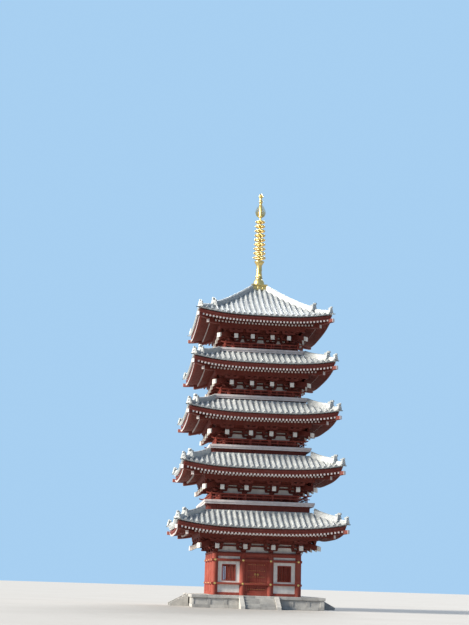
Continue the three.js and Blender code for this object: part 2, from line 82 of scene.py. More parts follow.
class Storey:
    """One storey's sizes: its half-width between column lines, its eave edge and its roof's curve."""

    def __init__(self, number):
        self.name = f"storey_{number}"
        self.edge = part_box(f"{self.name}_brackets")[0].z + PLATE_BELOW_EDGE
        self.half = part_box(f"{self.name}_eaves")[1].x - FASCIA_OUT
        self.bay = MIDDLE_BAY_HALVES[number - 1] * PITCH
        self.eave = self.half + OVERHANG
        self.lift = CORNER_LIFTS[number - 1]

    def set_roof(self, inner, top, first_slope):
        self.inner, self.top, self.first_slope = inner, top, first_slope

    def z(self, pitches):
        """Height at a number of pitches above the eave edge."""
        return self.edge + pitches * PITCH

    def out(self, pitches):
        """Half-width at a number of pitches beyond the column line."""
        return self.half + pitches * PITCH

    def corner_lift(self, r, along):
        start = self.half + LIFT_STARTS
        out = np.clip((r - start) / (self.eave - start), 0, None)
        return self.lift * out ** 1.5 * np.abs(along) ** 3

    def roof_z(self, x, r):
        t = np.clip((self.eave - r) / (self.eave - self.inner), None, 1)
        share = self.first_slope * t + (1 - self.first_slope) * t * np.abs(t)
        along = np.clip(np.abs(x) / r, 0, 1)
        rise = self.top - self.edge - TILE_BED
        return self.edge + TILE_BED + rise * share + self.corner_lift(r, along)

    def places(self):
        return np.array([-self.half, -self.bay, self.bay, self.half])


storeys = [Storey(number) for number in range(1, 6)]
for lower, upper in zip(storeys, storeys[1:]):
    roof_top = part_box(f"{upper.name}_balcony")[0].z
    lower.set_roof(upper.half + BALCONY_REACH, roof_top, FIRST_SLOPE["lower"])
ground, top_storey = storeys[0], storeys[-1]
top_storey.set_roof(APEX_HALF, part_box("finial_box")[0].z, FIRST_SLOPE["top"])

# Mesh building. A shape is its points, (copies, n, 3), and its faces, one array a number of corners.

SIDES, CORNERS, ONCE = (0, 90, 180, 270), (45, 135, 225, 315), (0,)
SMALLEST_FACE = 1e-8
SHARP_ANGLE = math.radians(32)
NEEDLE = 1e-4
ACROSS, UP = np.array([1.0, 0.0, 0.0]), np.array([0.0, 0.0, 1.0])
SQUARE = np.array([(-1, -1), (1, -1), (1, 1), (-1, 1)], float)


def xyz(x, y, z):
    """Points from their coordinates, given as numbers or arrays."""
    return np.stack(np.broadcast_arrays(x, y, z), -1)


def unit(vectors):
    return vectors / np.linalg.norm(vectors, axis=-1, keepdims=True)


def around(count, first=0.0):
    """Angles spread evenly round the tower's axis."""
    return [first + 360 * n / count for n in range(count)]


def turned(points, degrees):
    """Points turned about the tower's axis."""
    a = math.radians(degrees)
    turn = np.array([[math.cos(a), -math.sin(a), 0], [math.sin(a), math.cos(a), 0], [0, 0, 1]])
    return points @ turn.T


def polygon_normals(points, faces):
    """Area-weighted normals of polygons with the same number of corners."""
    corners = points[faces]
    return np.cross(corners, np.roll(corners, -1, 1)).sum(1) / 2


class Piece:
    """One Blender object in the making. Each copy of a shape in it gets a tone of its own."""

    made = []

    def __init__(self, name, material, nodes=()):
        self.name, self.material, self.nodes = name, material, nodes
        self.points, self.faces, self.tones = [], [], []
        self.count = 0
        Piece.made.append(self)

    def add(self, shape, angles=SIDES, tones=None):
        """Adds a closed shape's copies, turned to each angle, with the faces pointing out."""
        points, faces = shape
        first = points[0]
        middle = first.mean(0)
        if sum((polygon_normals(first, f) * (first[f].mean(1) - middle)).sum() for f in faces) < 0:
            faces = [f[:, ::-1] for f in faces]
        points = np.concatenate([turned(points, a) for a in angles])
        copies, n, _ = points.shape
        if tones is None:
            tones = rng.random((copies, 1))
        tones = np.broadcast_to(tones, (copies, sum(len(f) for f in faces)))
        offsets = self.count + n * np.arange(copies)[:, None, None]
        self.points.append(points.reshape(-1, 3))
        start = 0
        for f in faces:
            self.faces.append((f[None] + offsets).reshape(-1, f.shape[1]))
            self.tones.append(tones[:, start:start + len(f)].reshape(-1))
            start += len(f)
        self.count += copies * n

    def band(self, r0, r1, z0, z1, bevel=0.0, steps=1, lift=None):
        """Adds a square ring of rectangular section."""
        self.add(square_ring(rectangle(r0, r1, z0, z1, bevel), steps, lift), ONCE)

    def build(self):
        points = np.concatenate(self.points)
        kept, tones = [], []
        for f, tone in zip(self.faces, self.tones):
            full = np.linalg.norm(polygon_normals(points, f), axis=1) > SMALLEST_FACE
            kept.append(f[full])
            tones.append(tone[full])
        used = np.unique(np.concatenate([f.reshape(-1) for f in kept]))
        renumber = np.zeros(len(points), int)
        renumber[used] = np.arange(len(used))
        sizes = np.concatenate([np.full(len(f), f.shape[1]) for f in kept])
        mesh = bpy.data.meshes.new(self.name)
        mesh.vertices.add(len(used))
        mesh.vertices.foreach_set("co", points[used].astype(np.float32).reshape(-1))
        mesh.loops.add(int(sizes.sum()))
        mesh.loops.foreach_set("vertex_index", np.concatenate([renumber[f].reshape(-1) for f in kept]))
        mesh.polygons.add(len(sizes))
        mesh.polygons.foreach_set("loop_start", np.concatenate([[0], np.cumsum(sizes)[:-1]]))
        mesh.update(calc_edges=True)
        mesh.validate()
        mesh.shade_smooth()
        mesh.set_sharp_from_angle(angle=SHARP_ANGLE)
        attribute = mesh.attributes.new("tone", "FLOAT", "FACE")
        attribute.data.foreach_set("value", np.concatenate(tones).astype(np.float32))
        mesh.materials.append(self.material)
        piece = bpy.data.objects.new(self.name, mesh)
        bpy.context.scene.collection.objects.link(piece)
        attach(piece, "root")
        if self.nodes:
            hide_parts(*self.nodes)


def pieces(node, **materials):
    """New pieces that stand for a node, one for each part and its material."""
    return [Piece(f"{node}_{part}", material, [node]) for part, material in materials.items()]


def loft(rings, closed_path=False):
    """Skins rings of points, (stations, corners, 3) or with copies in front, into a closed shape."""
    rings = np.array(rings, ndmin=4)
    copies, stations, corners, _ = rings.shape
    last = stations if closed_path else stations - 1
    s, c = np.meshgrid(np.arange(last), np.arange(corners), indexing="ij")
    t, d = (s + 1) % stations, (c + 1) % corners
    quads = np.stack([s * corners + c, s * corners + d, t * corners + d, t * corners + c], -1)
    faces = [quads.reshape(-1, 4)]
    if not closed_path:
        faces.append(np.array([np.arange(corners)[::-1], np.arange(corners) + (stations - 1) * corners]))
    return rings.reshape(copies, -1, 3), faces


def loft_at(rings, centres):
    """Lofts the same rings at each centre."""
    return loft(np.array(rings) + np.array(centres, float)[:, None, None, :])


def box_template():
    """A box with every edge chamfered: each corner's three points, as signs and which axes are inset."""
    signs = np.repeat(np.array(list(product((-1, 1), repeat=3)), float), 3, 0)
    insets = np.tile(1 - np.eye(3), (8, 1))
    points = signs * (1 - 0.2 * insets)
    faces = {4: [], 3: []}
    for direction in product((-1, 0, 1), repeat=3):
        reach = points @ direction
        loop = np.flatnonzero(reach > reach.max() - 0.01)
        if len(loop) in faces:
            offset = points[loop] - points[loop].mean(0)
            angle = np.arctan2(offset @ np.cross(direction, offset[0]), offset @ offset[0])
            faces[len(loop)].append(loop[np.argsort(angle)])
    return signs, insets, [np.array(group) for group in faces.values()]


def lathe(profile, plan, centres=((0, 0, 0),)):
    """Shapes on upright axes through the centres: a plan of unit size, scaled by (radius, height)."""
    return loft_at([xyz(*plan.T * max(radius, NEEDLE), z) for radius, z in profile], centres)


BOX_SIGNS, BOX_INSETS, BOX_FACES = box_template()
PLAIN_BOX, PLAIN_FACES = lathe([(1, -1), (1, 1)], SQUARE)


def boxes(centre, size, axes=None, bevel=0.0):
    """Boxes by centre and size, (copies, 3) each, in their own axes, (copies, 3, 3), one axis a row."""
    centre, size = np.broadcast_arrays(np.atleast_2d(centre).astype(float), np.atleast_2d(size))
    half = size[:, None, :] / 2
    local = BOX_SIGNS * (half - bevel * BOX_INSETS) if bevel else PLAIN_BOX * half
    if axes is not None:
        local = local @ axes
    return local + centre[:, None, :], BOX_FACES if bevel else PLAIN_FACES


def spans(x, y, z, bevel=0.0):
    """Boxes by their (low, high) limits on each axis, given as numbers or as one value a box."""
    limits = np.broadcast_arrays(np.zeros(1), *(value for pair in (x, y, z) for value in pair))
    low, high = np.stack(limits[1::2], -1), np.stack(limits[2::2], -1)
    return boxes((low + high) / 2, high - low, bevel=bevel)


def about(middle, half):
    """The limits of a span by its middle."""
    return middle - half, middle + half


def between(edges, gap):
    """The limits of the spans between edges, with a gap left on both sides of each edge."""
    return edges[:-1] + gap, edges[1:] - gap


def beams(start, end, width, height, bevel=0.0):
    """Straight timbers between the middles of their two ends."""
    start, end = np.broadcast_arrays(np.atleast_2d(start).astype(float), np.atleast_2d(end))
    run = end - start
    length = np.linalg.norm(run, axis=1)
    forward = unit(run)
    side = unit(np.cross(forward, UP))
    axes = np.stack([side, forward, np.cross(side, forward)], 1)
    return boxes((start + end) / 2, xyz(width, length, height), axes, bevel)


def circle(radius, corners, first=0.0, sweep=2 * math.pi):
    """Points of a circle or, with a smaller sweep, of an arc that includes both ends."""
    angles = first + np.linspace(0, sweep, corners, endpoint=sweep < 2 * math.pi)
    return radius * np.stack([np.cos(angles), np.sin(angles)], -1)


def boss(profile, corners, x, y, z):
    """A round shape facing the front, from a profile of (radius, distance out)."""
    across, up = circle(1, corners).T
    radius, out = np.array(profile).T[..., None]
    radius = np.maximum(radius, NEEDLE)
    return loft(xyz(x + radius * across, y - out, z + radius * up))


def plates(outline, thickness, places, middle, across=False):
    """Plates at places along the front: outlines of (out, height), or of (across, height) if across."""
    flat, z = np.array(outline, float).T
    rings = []
    for half in about(0, thickness / 2):
        x, out = (flat, half) if across else (half, flat)
        rings.append(xyz(x, -(middle + out), z))
    return loft_at(rings, xyz(places, 0, 0))


def swept(sections, out, z):
    """Sections of (across, up) points carried out over the front's middle line, through (out, z)."""
    return loft(xyz(sections[..., 0], -out[:, None], z[:, None] + sections[..., 1]))


def square_ring(section, steps=1, lift=None):
    """A section of (half-width, height) points carried round a square, raised by lift(r, along)."""
    along = np.linspace(-1, 1, steps + 1)[:-1]
    along = 1.5 * along - 0.5 * along ** 3
    r, z = np.array(section, float).T
    a, r = np.meshgrid(along, r, indexing="ij")
    side = xyz(a * r, -r, z + (lift(r, a) if lift else 0))
    return loft(np.concatenate([turned(side, angle) for angle in SIDES]), closed_path=True)


def rectangle(r0, r1, z0, z1, bevel=0.0):
    """A closed section of (half-width, height) points, with chamfered corners if a bevel is given."""
    if not bevel:
        return [(r0, z0), (r1, z0), (r1, z1), (r0, z1)]
    b = bevel
    return [(r0 + b, z0), (r1 - b, z0), (r1, z0 + b), (r1, z1 - b), (r1 - b, z1), (r0 + b, z1),
            (r0, z1 - b), (r0, z0 + b)]


# Materials


class Nodes:
    """A few words for building a procedural material."""

    def __init__(self, name):
        self.material = bpy.data.materials.new(name)
        self.material.use_nodes = True
        self.tree = self.material.node_tree
        self.place = self.add("ShaderNodeTexCoord").outputs["Object"]

    def add(self, kind, inputs=(), **settings):
        node = self.tree.nodes.new(kind)
        for name, value in settings.items():
            setattr(node, name, value)
        self.feed(node, inputs)
        return node

    def feed(self, node, inputs):
        """Joins each input to a socket, or sets its number, vector or colour."""
        for name, value in dict(inputs).items():
            target = node.inputs[name]
            if isinstance(value, bpy.types.NodeSocket):
                self.tree.links.new(value, target)
            else:
                target.default_value = (*value, 1) if target.type == "RGBA" else value

    def noise(self, scale, detail=4.0, roughness=0.55, stretch=None):
        place = self.place
        if stretch:
            place = self.add("ShaderNodeMapping", {"Scale": stretch, "Vector": place}).outputs["Vector"]
        values = {"Scale": scale, "Detail": detail, "Roughness": roughness, "Vector": place}
        return self.add("ShaderNodeTexNoise", values).outputs["Fac"]

    def tone(self):
        return self.add("ShaderNodeAttribute", attribute_name="tone").outputs["Fac"]

    def ramp(self, value, *stops):
        """Maps a value to colours or greys, by (place, colour) stops."""
        node = self.add("ShaderNodeValToRGB", {"Fac": value})
        elements = node.color_ramp.elements
        while len(elements) < len(stops):
            elements.new(0.5)
        for element, (position, colour) in zip(elements, stops):
            element.position = position
            element.color = (*colour, 1) if isinstance(colour, tuple) else (colour, colour, colour, 1)
        return node.outputs["Color"]

    def mix(self, factor, first, second, blend="MIX"):
        values = {0: factor, 6: first, 7: second}
        return self.add("ShaderNodeMix", values, data_type="RGBA", blend_type=blend).outputs[2]

    def shaded(self, colour, shade):
        return self.mix(1.0, colour, shade, "MULTIPLY")

    def times(self, value, factor):
        return self.add("ShaderNodeMath", {0: value, 1: factor}, operation="MULTIPLY").outputs[0]

    def finish(self, colour, roughness, *bumps, **gloss):
        """Joins colour, roughness and (height, distance) bumps to the shader."""
        values = {"Base Color": colour, "Roughness": roughness}
        for height, distance in bumps:
            inputs = {"Height": height, "Distance": distance}
            if "Normal" in values:
                inputs["Normal"] = values["Normal"]
            values["Normal"] = self.add("ShaderNodeBump", inputs).outputs["Normal"]
        for name, value in gloss.items():
            values[name.replace("_", " ")] = value
        self.feed(self.tree.nodes["Principled BSDF"], values)
        return self.material


def tile_material():
    """Pale silvery fired clay: each tile its own grey, with clouds and lichen specks."""
    n = Nodes("roof_tile")
    base = n.ramp(n.tone(), (0.0, (0.29, 0.31, 0.315)), (0.5, (0.39, 0.41, 0.405)),
                  (1.0, (0.49, 0.505, 0.485)))
    colour = n.shaded(base, n.ramp(n.noise(2.2), (0.35, 0.82), (0.65, 1.0)))
    specks = n.ramp(n.noise(38, 3), (0.62, 0.0), (0.72, 1.0))
    colour = n.mix(n.times(specks, 0.35), colour, (0.33, 0.33, 0.29))
    roughness = n.ramp(n.noise(9), (0.3, 0.40), (0.7, 0.58))
    return n.finish(colour, roughness, (n.noise(60, 5), 0.004), (n.noise(6), 0.01),
                    Specular_IOR_Level=0.8, Sheen_Weight=1.0, Sheen_Roughness=0.35)


def timber_material(name, paint, worn, grain=(1, 1, 0.12), wear=0.5):
    """Painted timber: long grain under the paint, paler dusty patches and darker runs."""
    n = Nodes(name)
    fibres = n.noise(22, 5, 0.6, grain)
    base = n.mix(n.times(n.tone(), 0.5), paint, tuple(c * 0.78 for c in paint))
    faded = n.ramp(n.noise(1.6, 6, 0.65), (0.45, 0.0), (0.75, 1.0))
    colour = n.mix(n.times(faded, wear), base, worn)
    colour = n.shaded(colour, n.ramp(fibres, (0.3, 0.72), (0.6, 1.0)))
    roughness = n.ramp(n.noise(5), (0.3, 0.55), (0.7, 0.78))
    return n.finish(colour, roughness, (fibres, 0.003), (n.noise(90, 2), 0.0008), Specular_IOR_Level=0.25)


def white_paint_material(name, fresh, dusty):
    """Chalky white paint and lime plaster, a little greyed where rain and dust reach it."""
    n = Nodes(name)
    dust = n.ramp(n.noise(3.0, 6, 0.6), (0.4, 0.0), (0.75, 1.0))
    colour = n.mix(n.times(dust, 0.5), fresh, dusty)
    stains = n.ramp(n.noise(1.2, 4, 0.6, (3, 3, 0.6)), (0.35, 0.86), (0.6, 1.0))
    return n.finish(n.shaded(colour, stains), 0.85, (n.noise(45, 6), 0.002), (n.noise(4), 0.004))


def stone_material():
    """Tooled grey granite, each block its own shade, with clouds and dark specks."""
    n = Nodes("stone")
    base = n.ramp(n.tone(), (0.0, (0.36, 0.35, 0.33)), (0.6, (0.47, 0.46, 0.43)),
                  (1.0, (0.54, 0.52, 0.48)))
    colour = n.shaded(base, n.ramp(n.noise(2.5, 6, 0.65), (0.35, 0.7), (0.7, 1.0)))
    specks = n.ramp(n.noise(140, 2), (0.6, 0.0), (0.68, 1.0))
    colour = n.mix(n.times(specks, 0.5), colour, (0.14, 0.14, 0.13))
    return n.finish(colour, 0.86, (n.noise(70, 6, 0.7), 0.004), (n.noise(8), 0.008))


def gilt_material():
    """Weathered gilding: warm metal with duller, greener patches."""
    n = Nodes("gilt_metal")
    patches = n.ramp(n.noise(3.5, 6, 0.65), (0.45, 0.0), (0.72, 1.0))
    colour = n.mix(patches, (0.82, 0.61, 0.22), (0.52, 0.44, 0.22))
    roughness = n.ramp(n.noise(7, 5), (0.3, 0.28), (0.7, 0.48))
    return n.finish(colour, roughness, (n.noise(50, 4), 0.001), Metallic=1.0)


tile = tile_material()
# One vermilion paint in two copies. The darker one, on the rafters, fascia, brackets, cove and balcony
# base, is painted shade for the dark under the eaves. The brighter one, on the columns, walls, railings,
# doors and frames, is painted light for the sky light they catch.
shade_darkened_red = timber_material("red_timber", (0.165, 0.032, 0.022), (0.20, 0.064, 0.048))
sky_lit_red = timber_material("sky_lit_red_timber", (0.31, 0.060, 0.040), (0.35, 0.12, 0.085))
boards = timber_material("deck_boards", (0.34, 0.16, 0.10), (0.42, 0.32, 0.24), (0.3, 0.3, 1), 0.8)
white = white_paint_material("white_paint", (0.80, 0.77, 0.71), (0.60, 0.56, 0.50))
# A darker, pinker copy of the white paint, used for the rafter tips and the balcony edge. The darkening is
# painted shade under the eaves, and the pink cast stands in for red light bounced from the timber. Its dust
# and stains are real, as in the white paint.
shade_darkened_white = white_paint_material("shade_darkened_white_paint", (0.60, 0.54, 0.53), (0.44, 0.39, 0.37))
stone = stone_material()
gilt = gilt_material()

# Roofs

TILE_PITCH = 1.6 * PITCH
TILE = {"length": 0.34, "lap": 1.15, "slant": 0.004, "radius": 0.095, "taper": 0.012}
PAN = {"sag": 0.05, "below": 0.045, "step": 0.022, "thickness": 0.05, "share": 0.98}
HIP_CLEAR = 0.05
LAST_ROW_FROM_CORNER = 0.3
DISC = [(0.0, -0.02), (0.1, -0.02), (0.1, 0.03), (0.085, 0.038), (0.078, 0.028), (0.04, 0.026),
        (0.03, 0.036), (0.0, 0.038)]


def on_roof(storey, x, r, above=0.0):
    """Points on the front roof face, x along it and r out from the axis, raised square to the slope."""
    step = 0.01
    z = storey.roof_z(x, r)
    slope = (storey.roof_z(x, r + step) - z) / step
    size = np.sqrt(1 + slope ** 2)
    return xyz(x, -(r - above * slope / size), z + above / size)


def course_ends(top, bottom):
    """Where each tile of a row begins and ends, from the top down; each lower end slants a little."""
    count = max(1, round((bottom - top) * TILE["lap"] / TILE["length"]))
    edges = np.linspace(top, bottom, count + 1)
    return np.stack([edges[:-1] + TILE["slant"], edges[1:]], -1).reshape(-1), count


def row_places(storey):
    """Middles of the rows across a whole side, those that carry round tiles, and their spacing."""
    count = round(2 * storey.eave / TILE_PITCH)
    spacing = 2 * storey.eave / count
    places = (np.arange(count) - (count - 1) / 2) * spacing
    return places, places[np.abs(places) <= storey.eave - LAST_ROW_FROM_CORNER], spacing


def add_tile_row(piece, rings):
    """Adds a row to every side, with a tone for each tile, which both of its strips share."""
    stations, corners, _ = rings.shape
    tiles = rng.random((len(SIDES), stations // 2 + 1))
    tones = np.repeat(tiles[:, np.arange(stations - 1) // 2], corners, 1)
    piece.add(loft(rings), SIDES, np.pad(tones, ((0, 0), (0, 2)), constant_values=0.5))


def round_rows(storey, piece):
    """The half-round cover tiles, in rows from the eave to the hip or the roof's top."""
    arc = circle(1, 8, -0.1, math.pi + 0.2)
    for x in row_places(storey)[1]:
        r, count = course_ends(max(storey.inner, abs(x) + HIP_CLEAR), storey.eave)
        radius = np.tile([TILE["radius"] - TILE["taper"], TILE["radius"]], count)[:, None]
        rings = on_roof(storey, x, r[:, None], radius * arc[:, 1])
        rings[..., 0] += radius * arc[:, 0]
        add_tile_row(piece, rings)


def pan_rows(storey, piece):
    """The hollow under tiles between the rows, stepping down course by course, with their thickness."""
    places, _, spacing = row_places(storey)
    across = np.linspace(-0.5, 0.5, 5)
    sag = PAN["sag"] * (2 * across) ** 2 - PAN["below"]
    underside = (sag - PAN["thickness"])[::-1]
    across = PAN["share"] * np.concatenate([across, across[::-1]])
    for x in np.append(places, places[-1] + spacing) - spacing / 2:
        xs = x + across * spacing
        inside = np.abs(xs).min()
        if inside > storey.eave:
            continue
        r, count = course_ends(max(storey.inner, inside), storey.eave)
        rise = np.tile([0, PAN["step"]], count)[:, None]
        above = np.concatenate([sag + rise, underside + 0 * rise], 1)
        clamped = np.maximum(r[:, None], np.abs(xs)[None])
        add_tile_row(piece, on_roof(storey, np.clip(xs, -storey.eave, storey.eave)[None], clamped, above))


def end_discs(storey, piece):
    """The round end tile of each row, with a plain raised ring and boss."""
    places = row_places(storey)[1]
    centre = on_roof(storey, places, storey.eave, 0.01)[:, None]
    outward = unit(centre - on_roof(storey, places, storey.eave - 0.05, 0.01)[:, None])
    up = unit(np.cross(ACROSS, outward))
    rings = []
    for radius, forward in DISC:
        flat = circle(1, 14) * max(radius, NEEDLE)
        rings.append(centre + flat[:, :1] * ACROSS + flat[:, 1:] * up + forward * outward)
    piece.add(loft(np.stack(rings, 1)))


RIDGE_HALF = 0.55 * PITCH
RIDGE = {"lip": 0.012, "layer": 0.058, "sunk": 0.1, "cap": 0.085}
RIDGE_RUNS = ({"layers": 5, "from": 0.0, "to": 0.72, "ornament": 1.0},
              {"layers": 2, "from": 0.70, "to": 0.965, "ornament": 0.72})
ORNAMENT_HALF = [(0.0, -0.10), (0.20, -0.10), (0.30, -0.06), (0.34, 0.02), (0.31, 0.09), (0.25, 0.09),
                 (0.27, 0.18), (0.24, 0.30), (0.19, 0.38), (0.20, 0.45), (0.13, 0.50), (0.07, 0.60),
                 (0.0, 0.64)]
# The ornament's plates: scale, height above the hip, thickness and distance out
ORNAMENT_PLATES = ((1, 0, 0.11, 0.03), (0.74, 0.06, 0.05, 0.095))
ORNAMENT_BOSS_UP = 0.24
HORN_LEAN = (0.28, 0.96)
ORNAMENT_BOSS = [(0.10, 0.11), (0.10, 0.13), (0.075, 0.165), (0.03, 0.18), (0.0, 0.182)]
HORN = [(-0.25, 0.47, 0.070), (0.03, 0.50, 0.075), (0.15, 0.535, 0.080), (0.21, 0.56, 0.086),
        (0.22, 0.563, 0.066), (0.212, 0.56, 0.056), (0.212, 0.56, 0.0)]


def ridge_section(layers):
    """A stack of flat ridge tiles: its right half from the bottom up, then its left half down."""
    half = [(RIDGE_HALF, -RIDGE["sunk"])]
    for n in range(layers):
        low = n * RIDGE["layer"]
        high = low + 0.6 * RIDGE["layer"]
        narrow = RIDGE_HALF - 0.004 * n
        lip = narrow + RIDGE["lip"]
        half += [(narrow, low), (lip, low), (lip, high), (narrow, high)]
    top = layers * RIDGE["layer"]
    half += [(RIDGE_HALF - 0.02, top), (RIDGE["cap"], top + 0.02)]
    return np.array(half + [(-x, z) for x, z in reversed(half)]), top


def hip_ridges(storey, piece):
    """Stacked ridge tiles down each hip, in a tall upper run and a low lower one."""
    for run in RIDGE_RUNS:
        section, top = ridge_section(run["layers"])
        first, last = (storey.inner + (storey.eave - storey.inner) * run[end] for end in ("from", "to"))
        r = np.linspace(first, last, 14)
        piece.add(swept(section, r * ROOT, storey.roof_z(r, r)), CORNERS)
        r, count = course_ends(first, last)
        radius = np.tile([RIDGE["cap"] - 0.01, RIDGE["cap"]], count)[:, None, None]
        caps = radius * circle(1, 9, -0.2, math.pi + 0.4)
        piece.add(swept(caps, r * ROOT, storey.roof_z(r, r) + (top + 0.02)), CORNERS, rng.random((1, 1)))


def ridge_ornaments(storey, piece):
    """A shouldered end tile with a boss where each ridge run stops, and a short round tile over it."""
    for run in RIDGE_RUNS:
        size = run["ornament"]
        r = storey.inner + (storey.eave - storey.inner) * run["to"]
        d, z = r * ROOT, storey.roof_z(r, r)
        half = np.array(ORNAMENT_HALF) * size
        outline = np.concatenate([half, (half[1:-1] * [-1, 1])[::-1]])
        for scale, up, thick, out in ORNAMENT_PLATES:
            piece.add(plates(outline * scale + [0, z + up * size], thick, [0], d + out, True), CORNERS)
        profile = [(radius * size, out) for radius, out in ORNAMENT_BOSS]
        piece.add(boss(profile, 16, 0, -d, z + ORNAMENT_BOSS_UP * size), CORNERS)
        out, rise, radius = (np.array(HORN) * size).T[..., None]
        x, up = circle(1, 14).T[:, None] * np.maximum(radius, NEEDLE)
        lean_out, lean_up = HORN_LEAN
        piece.add(loft(xyz(x, -(d + out - lean_out * up), z + rise + lean_up * up)), CORNERS)


def top_course(storey, piece):
    """Stacked flat tiles round the foot of the balcony's base band, closing the roof's top."""
    top, outer = storey.top, storey.inner
    inner = outer - BALCONY_REACH + 3.62 * PITCH
    section = [(inner, top - 0.2), (outer + 0.05, top - 0.2), (outer + 0.05, top - 0.03),
               (outer - 0.1, top - 0.02), (outer - 0.1, top + 0.03), (outer - 0.16, top + 0.03),
               (outer - 0.16, top + 0.08), (inner, top + 0.08)]
    piece.add(square_ring(section), ONCE)


def roof(storey):
    pans, rows, ridges = pieces(f"{storey.name}_roof", pans=tile, rows=tile, ridges=tile)
    pan_rows(storey, pans)
    round_rows(storey, rows)
    end_discs(storey, rows)
    hip_ridges(storey, ridges)
    ridge_ornaments(storey, ridges)
    if storey is not top_storey:
        top_course(storey, ridges)


# Eaves, in pitches beyond the columns and above the eave edge

RAFTER = {"width": 0.45 * PITCH, "height": 0.5 * PITCH, "tip": 0.012, "proud": 0.004,
          "hip_clear": 0.2 * PITCH, "shortest": 0.15}
HIP_RAFTER = {"width": 0.95 * PITCH, "height": 1.05 * PITCH}
RAFTER_ROWS = ({"from": -0.2, "to": 8.1, "level": 8, "end_z": -1.5, "slope": 0.32,
                "boards": (-0.4, 7.9), "hip": (-0.6, 8.9), "hip_drop": 0.42},
               {"from": 7.2, "to": 11.6, "level": 11.5, "end_z": -1.5, "slope": 0.2,
                "boards": (7.4, 11.2), "hip": (7.0, 12.15), "hip_drop": 0.3})
FASCIA_BANDS = (((7.45, 7.95), (-1.02, -0.7)), ((10.9, 11.45), (-0.98, -0.45)),
                ((11.0, 11.6), (-0.46, 0.22)))


def pitch_band(storey, piece, outs, heights, bevel=0.0, steps=1, lift=None):
    """A band round a storey, in pitches beyond the columns and above the eave edge."""
    piece.band(*map(storey.out, outs), *map(storey.z, heights), bevel, steps, lift)


def underside(storey, row, r):
    """Height under a row of rafters: its end_z over its level, climbing from there to the wall."""
    return storey.z(row["end_z"] + row["slope"] * (row["level"] - (r - storey.half) / PITCH))


def rafter_line(storey, row, x, r):
    """Height of the middle of a rafter's depth."""
    along = np.clip(np.abs(x) / r, 0, 1)
    return underside(storey, row, r) + RAFTER["height"] / 2 + storey.corner_lift(r, along)


def rafters(storey, timber, tips):
    """Both rows of parallel rafters, following the lift towards the corners, with white painted ends."""
    for row in RAFTER_ROWS:
        end = storey.out(row["to"])
        count = int(end / PITCH)
        x = (np.arange(-count, count) + 0.5) * PITCH
        x = x[np.abs(x) < end - 0.5 * PITCH]
        start = np.maximum(storey.out(row["from"]), np.abs(x) + RAFTER["hip_clear"])
        kept = end - start > RAFTER["shortest"]
        x, start = x[kept], start[kept]
        a, b = (xyz(x, -r, rafter_line(storey, row, x, r)) for r in (start, end))
        forward = unit(b - a)
        width, height, proud = RAFTER["width"], RAFTER["height"], RAFTER["proud"]
        timber.add(beams(a, b, width, height, 0.006))
        a, b = b - forward * proud, b + forward * RAFTER["tip"]
        tips.add(beams(a, b, width + proud, height + proud, 0.005))


def hip_rafters(storey, timber, tips):
    """The diagonal rafter under each corner, in a base and a flying length, with white ends."""
    w, t, cut = HIP_RAFTER["width"] / 2, HIP_RAFTER["height"] / 2, 0.02
    section = np.array([(-w, cut - t), (cut - w, -t), (w - cut, -t), (w, cut - t), (w, t), (-w, t)])
    for row in RAFTER_ROWS:
        r = storey.out(np.linspace(*row["hip"], 7))
        z = rafter_line(storey, row, r, r) - row["hip_drop"] * PITCH
        timber.add(swept(section, r * ROOT, z), CORNERS)
        size = [2 * w + 0.01, 0.03, 2 * t + 0.01]
        tips.add(boxes([0, -r[-1] * ROOT - 0.006, z[-1]], size, bevel=0.008), CORNERS)


def eave_boards(storey, piece):
    """White boards over both rows of rafters, from the wall to the fascia."""
    for row in RAFTER_ROWS:
        r = storey.out(np.linspace(*row["boards"], 5))
        low = list(zip(r, underside(storey, row, r) + RAFTER["height"]))
        high = [(r, z + 0.03) for r, z in reversed(low)]
        piece.add(square_ring(low + high, 12, storey.corner_lift), ONCE)


def eaves(storey):
    """Rafters, boards, the strip on the base rafters' ends, and the two boards that carry the tiles."""
    node = f"{storey.name}_eaves"
    timber, tips, soffit = pieces(node, rafters=shade_darkened_red, rafter_tips=shade_darkened_white, boards=white)
    rafters(storey, timber, tips)
    hip_rafters(storey, timber, tips)
    for outs, heights in FASCIA_BANDS:
        pitch_band(storey, timber, outs, heights, 0.01, 16, storey.corner_lift)
    eave_boards(storey, soffit)


# Bracket tiers. Heights are in pitches above the eave edge, and reaches in pitches beyond the columns.

STEP = 1.65
PURLIN = 4.6
BLOCK = 0.85
ARM = {"width": 0.55, "reach": 2.0, "second_reach": 3.3, "back": -0.4}
TIER_1, TIER_2 = (-5.4, -4.85), (-4.45, -3.95)
TAIL = {"end": 5.3, "bottom": -5.2, "slope": 0.45, "width": 1.05, "height": 1.2, "root": -0.4,
        "white_wrap": 0.55, "white_proud": 0.04}
RING_BEAMS = (((-1.0, 0.9), (-6.4, -6.0)), ((-0.3, 0.3), TIER_2), ((-0.3, 0.3), (-3.55, -3.05)),
              ((STEP - 0.3, STEP + 0.3), (-3.55, -3.0)), ((PURLIN - 0.3, PURLIN + 0.3), (-2.35, -1.8)),
              ((PURLIN - 0.4, PURLIN + 0.4), (-1.8, -0.45)))
COVE = {"board": 0.02, "rib_depth": 0.05, "rib_width": 0.14 * PITCH, "rib_spacing": 0.8 * PITCH}
COVE_LINES = ([(STEP + 0.2, -3.05), (STEP + 0.9, -2.85), (STEP + 1.6, -2.4), (STEP + 2.2, -1.85),
               (PURLIN - 0.3, -1.4)],
              [(-0.2, -3.15), (STEP - 0.2, -3.15)])


def pitch_points(storey, outline):
    return [(x * PITCH, storey.z(z)) for x, z in outline]


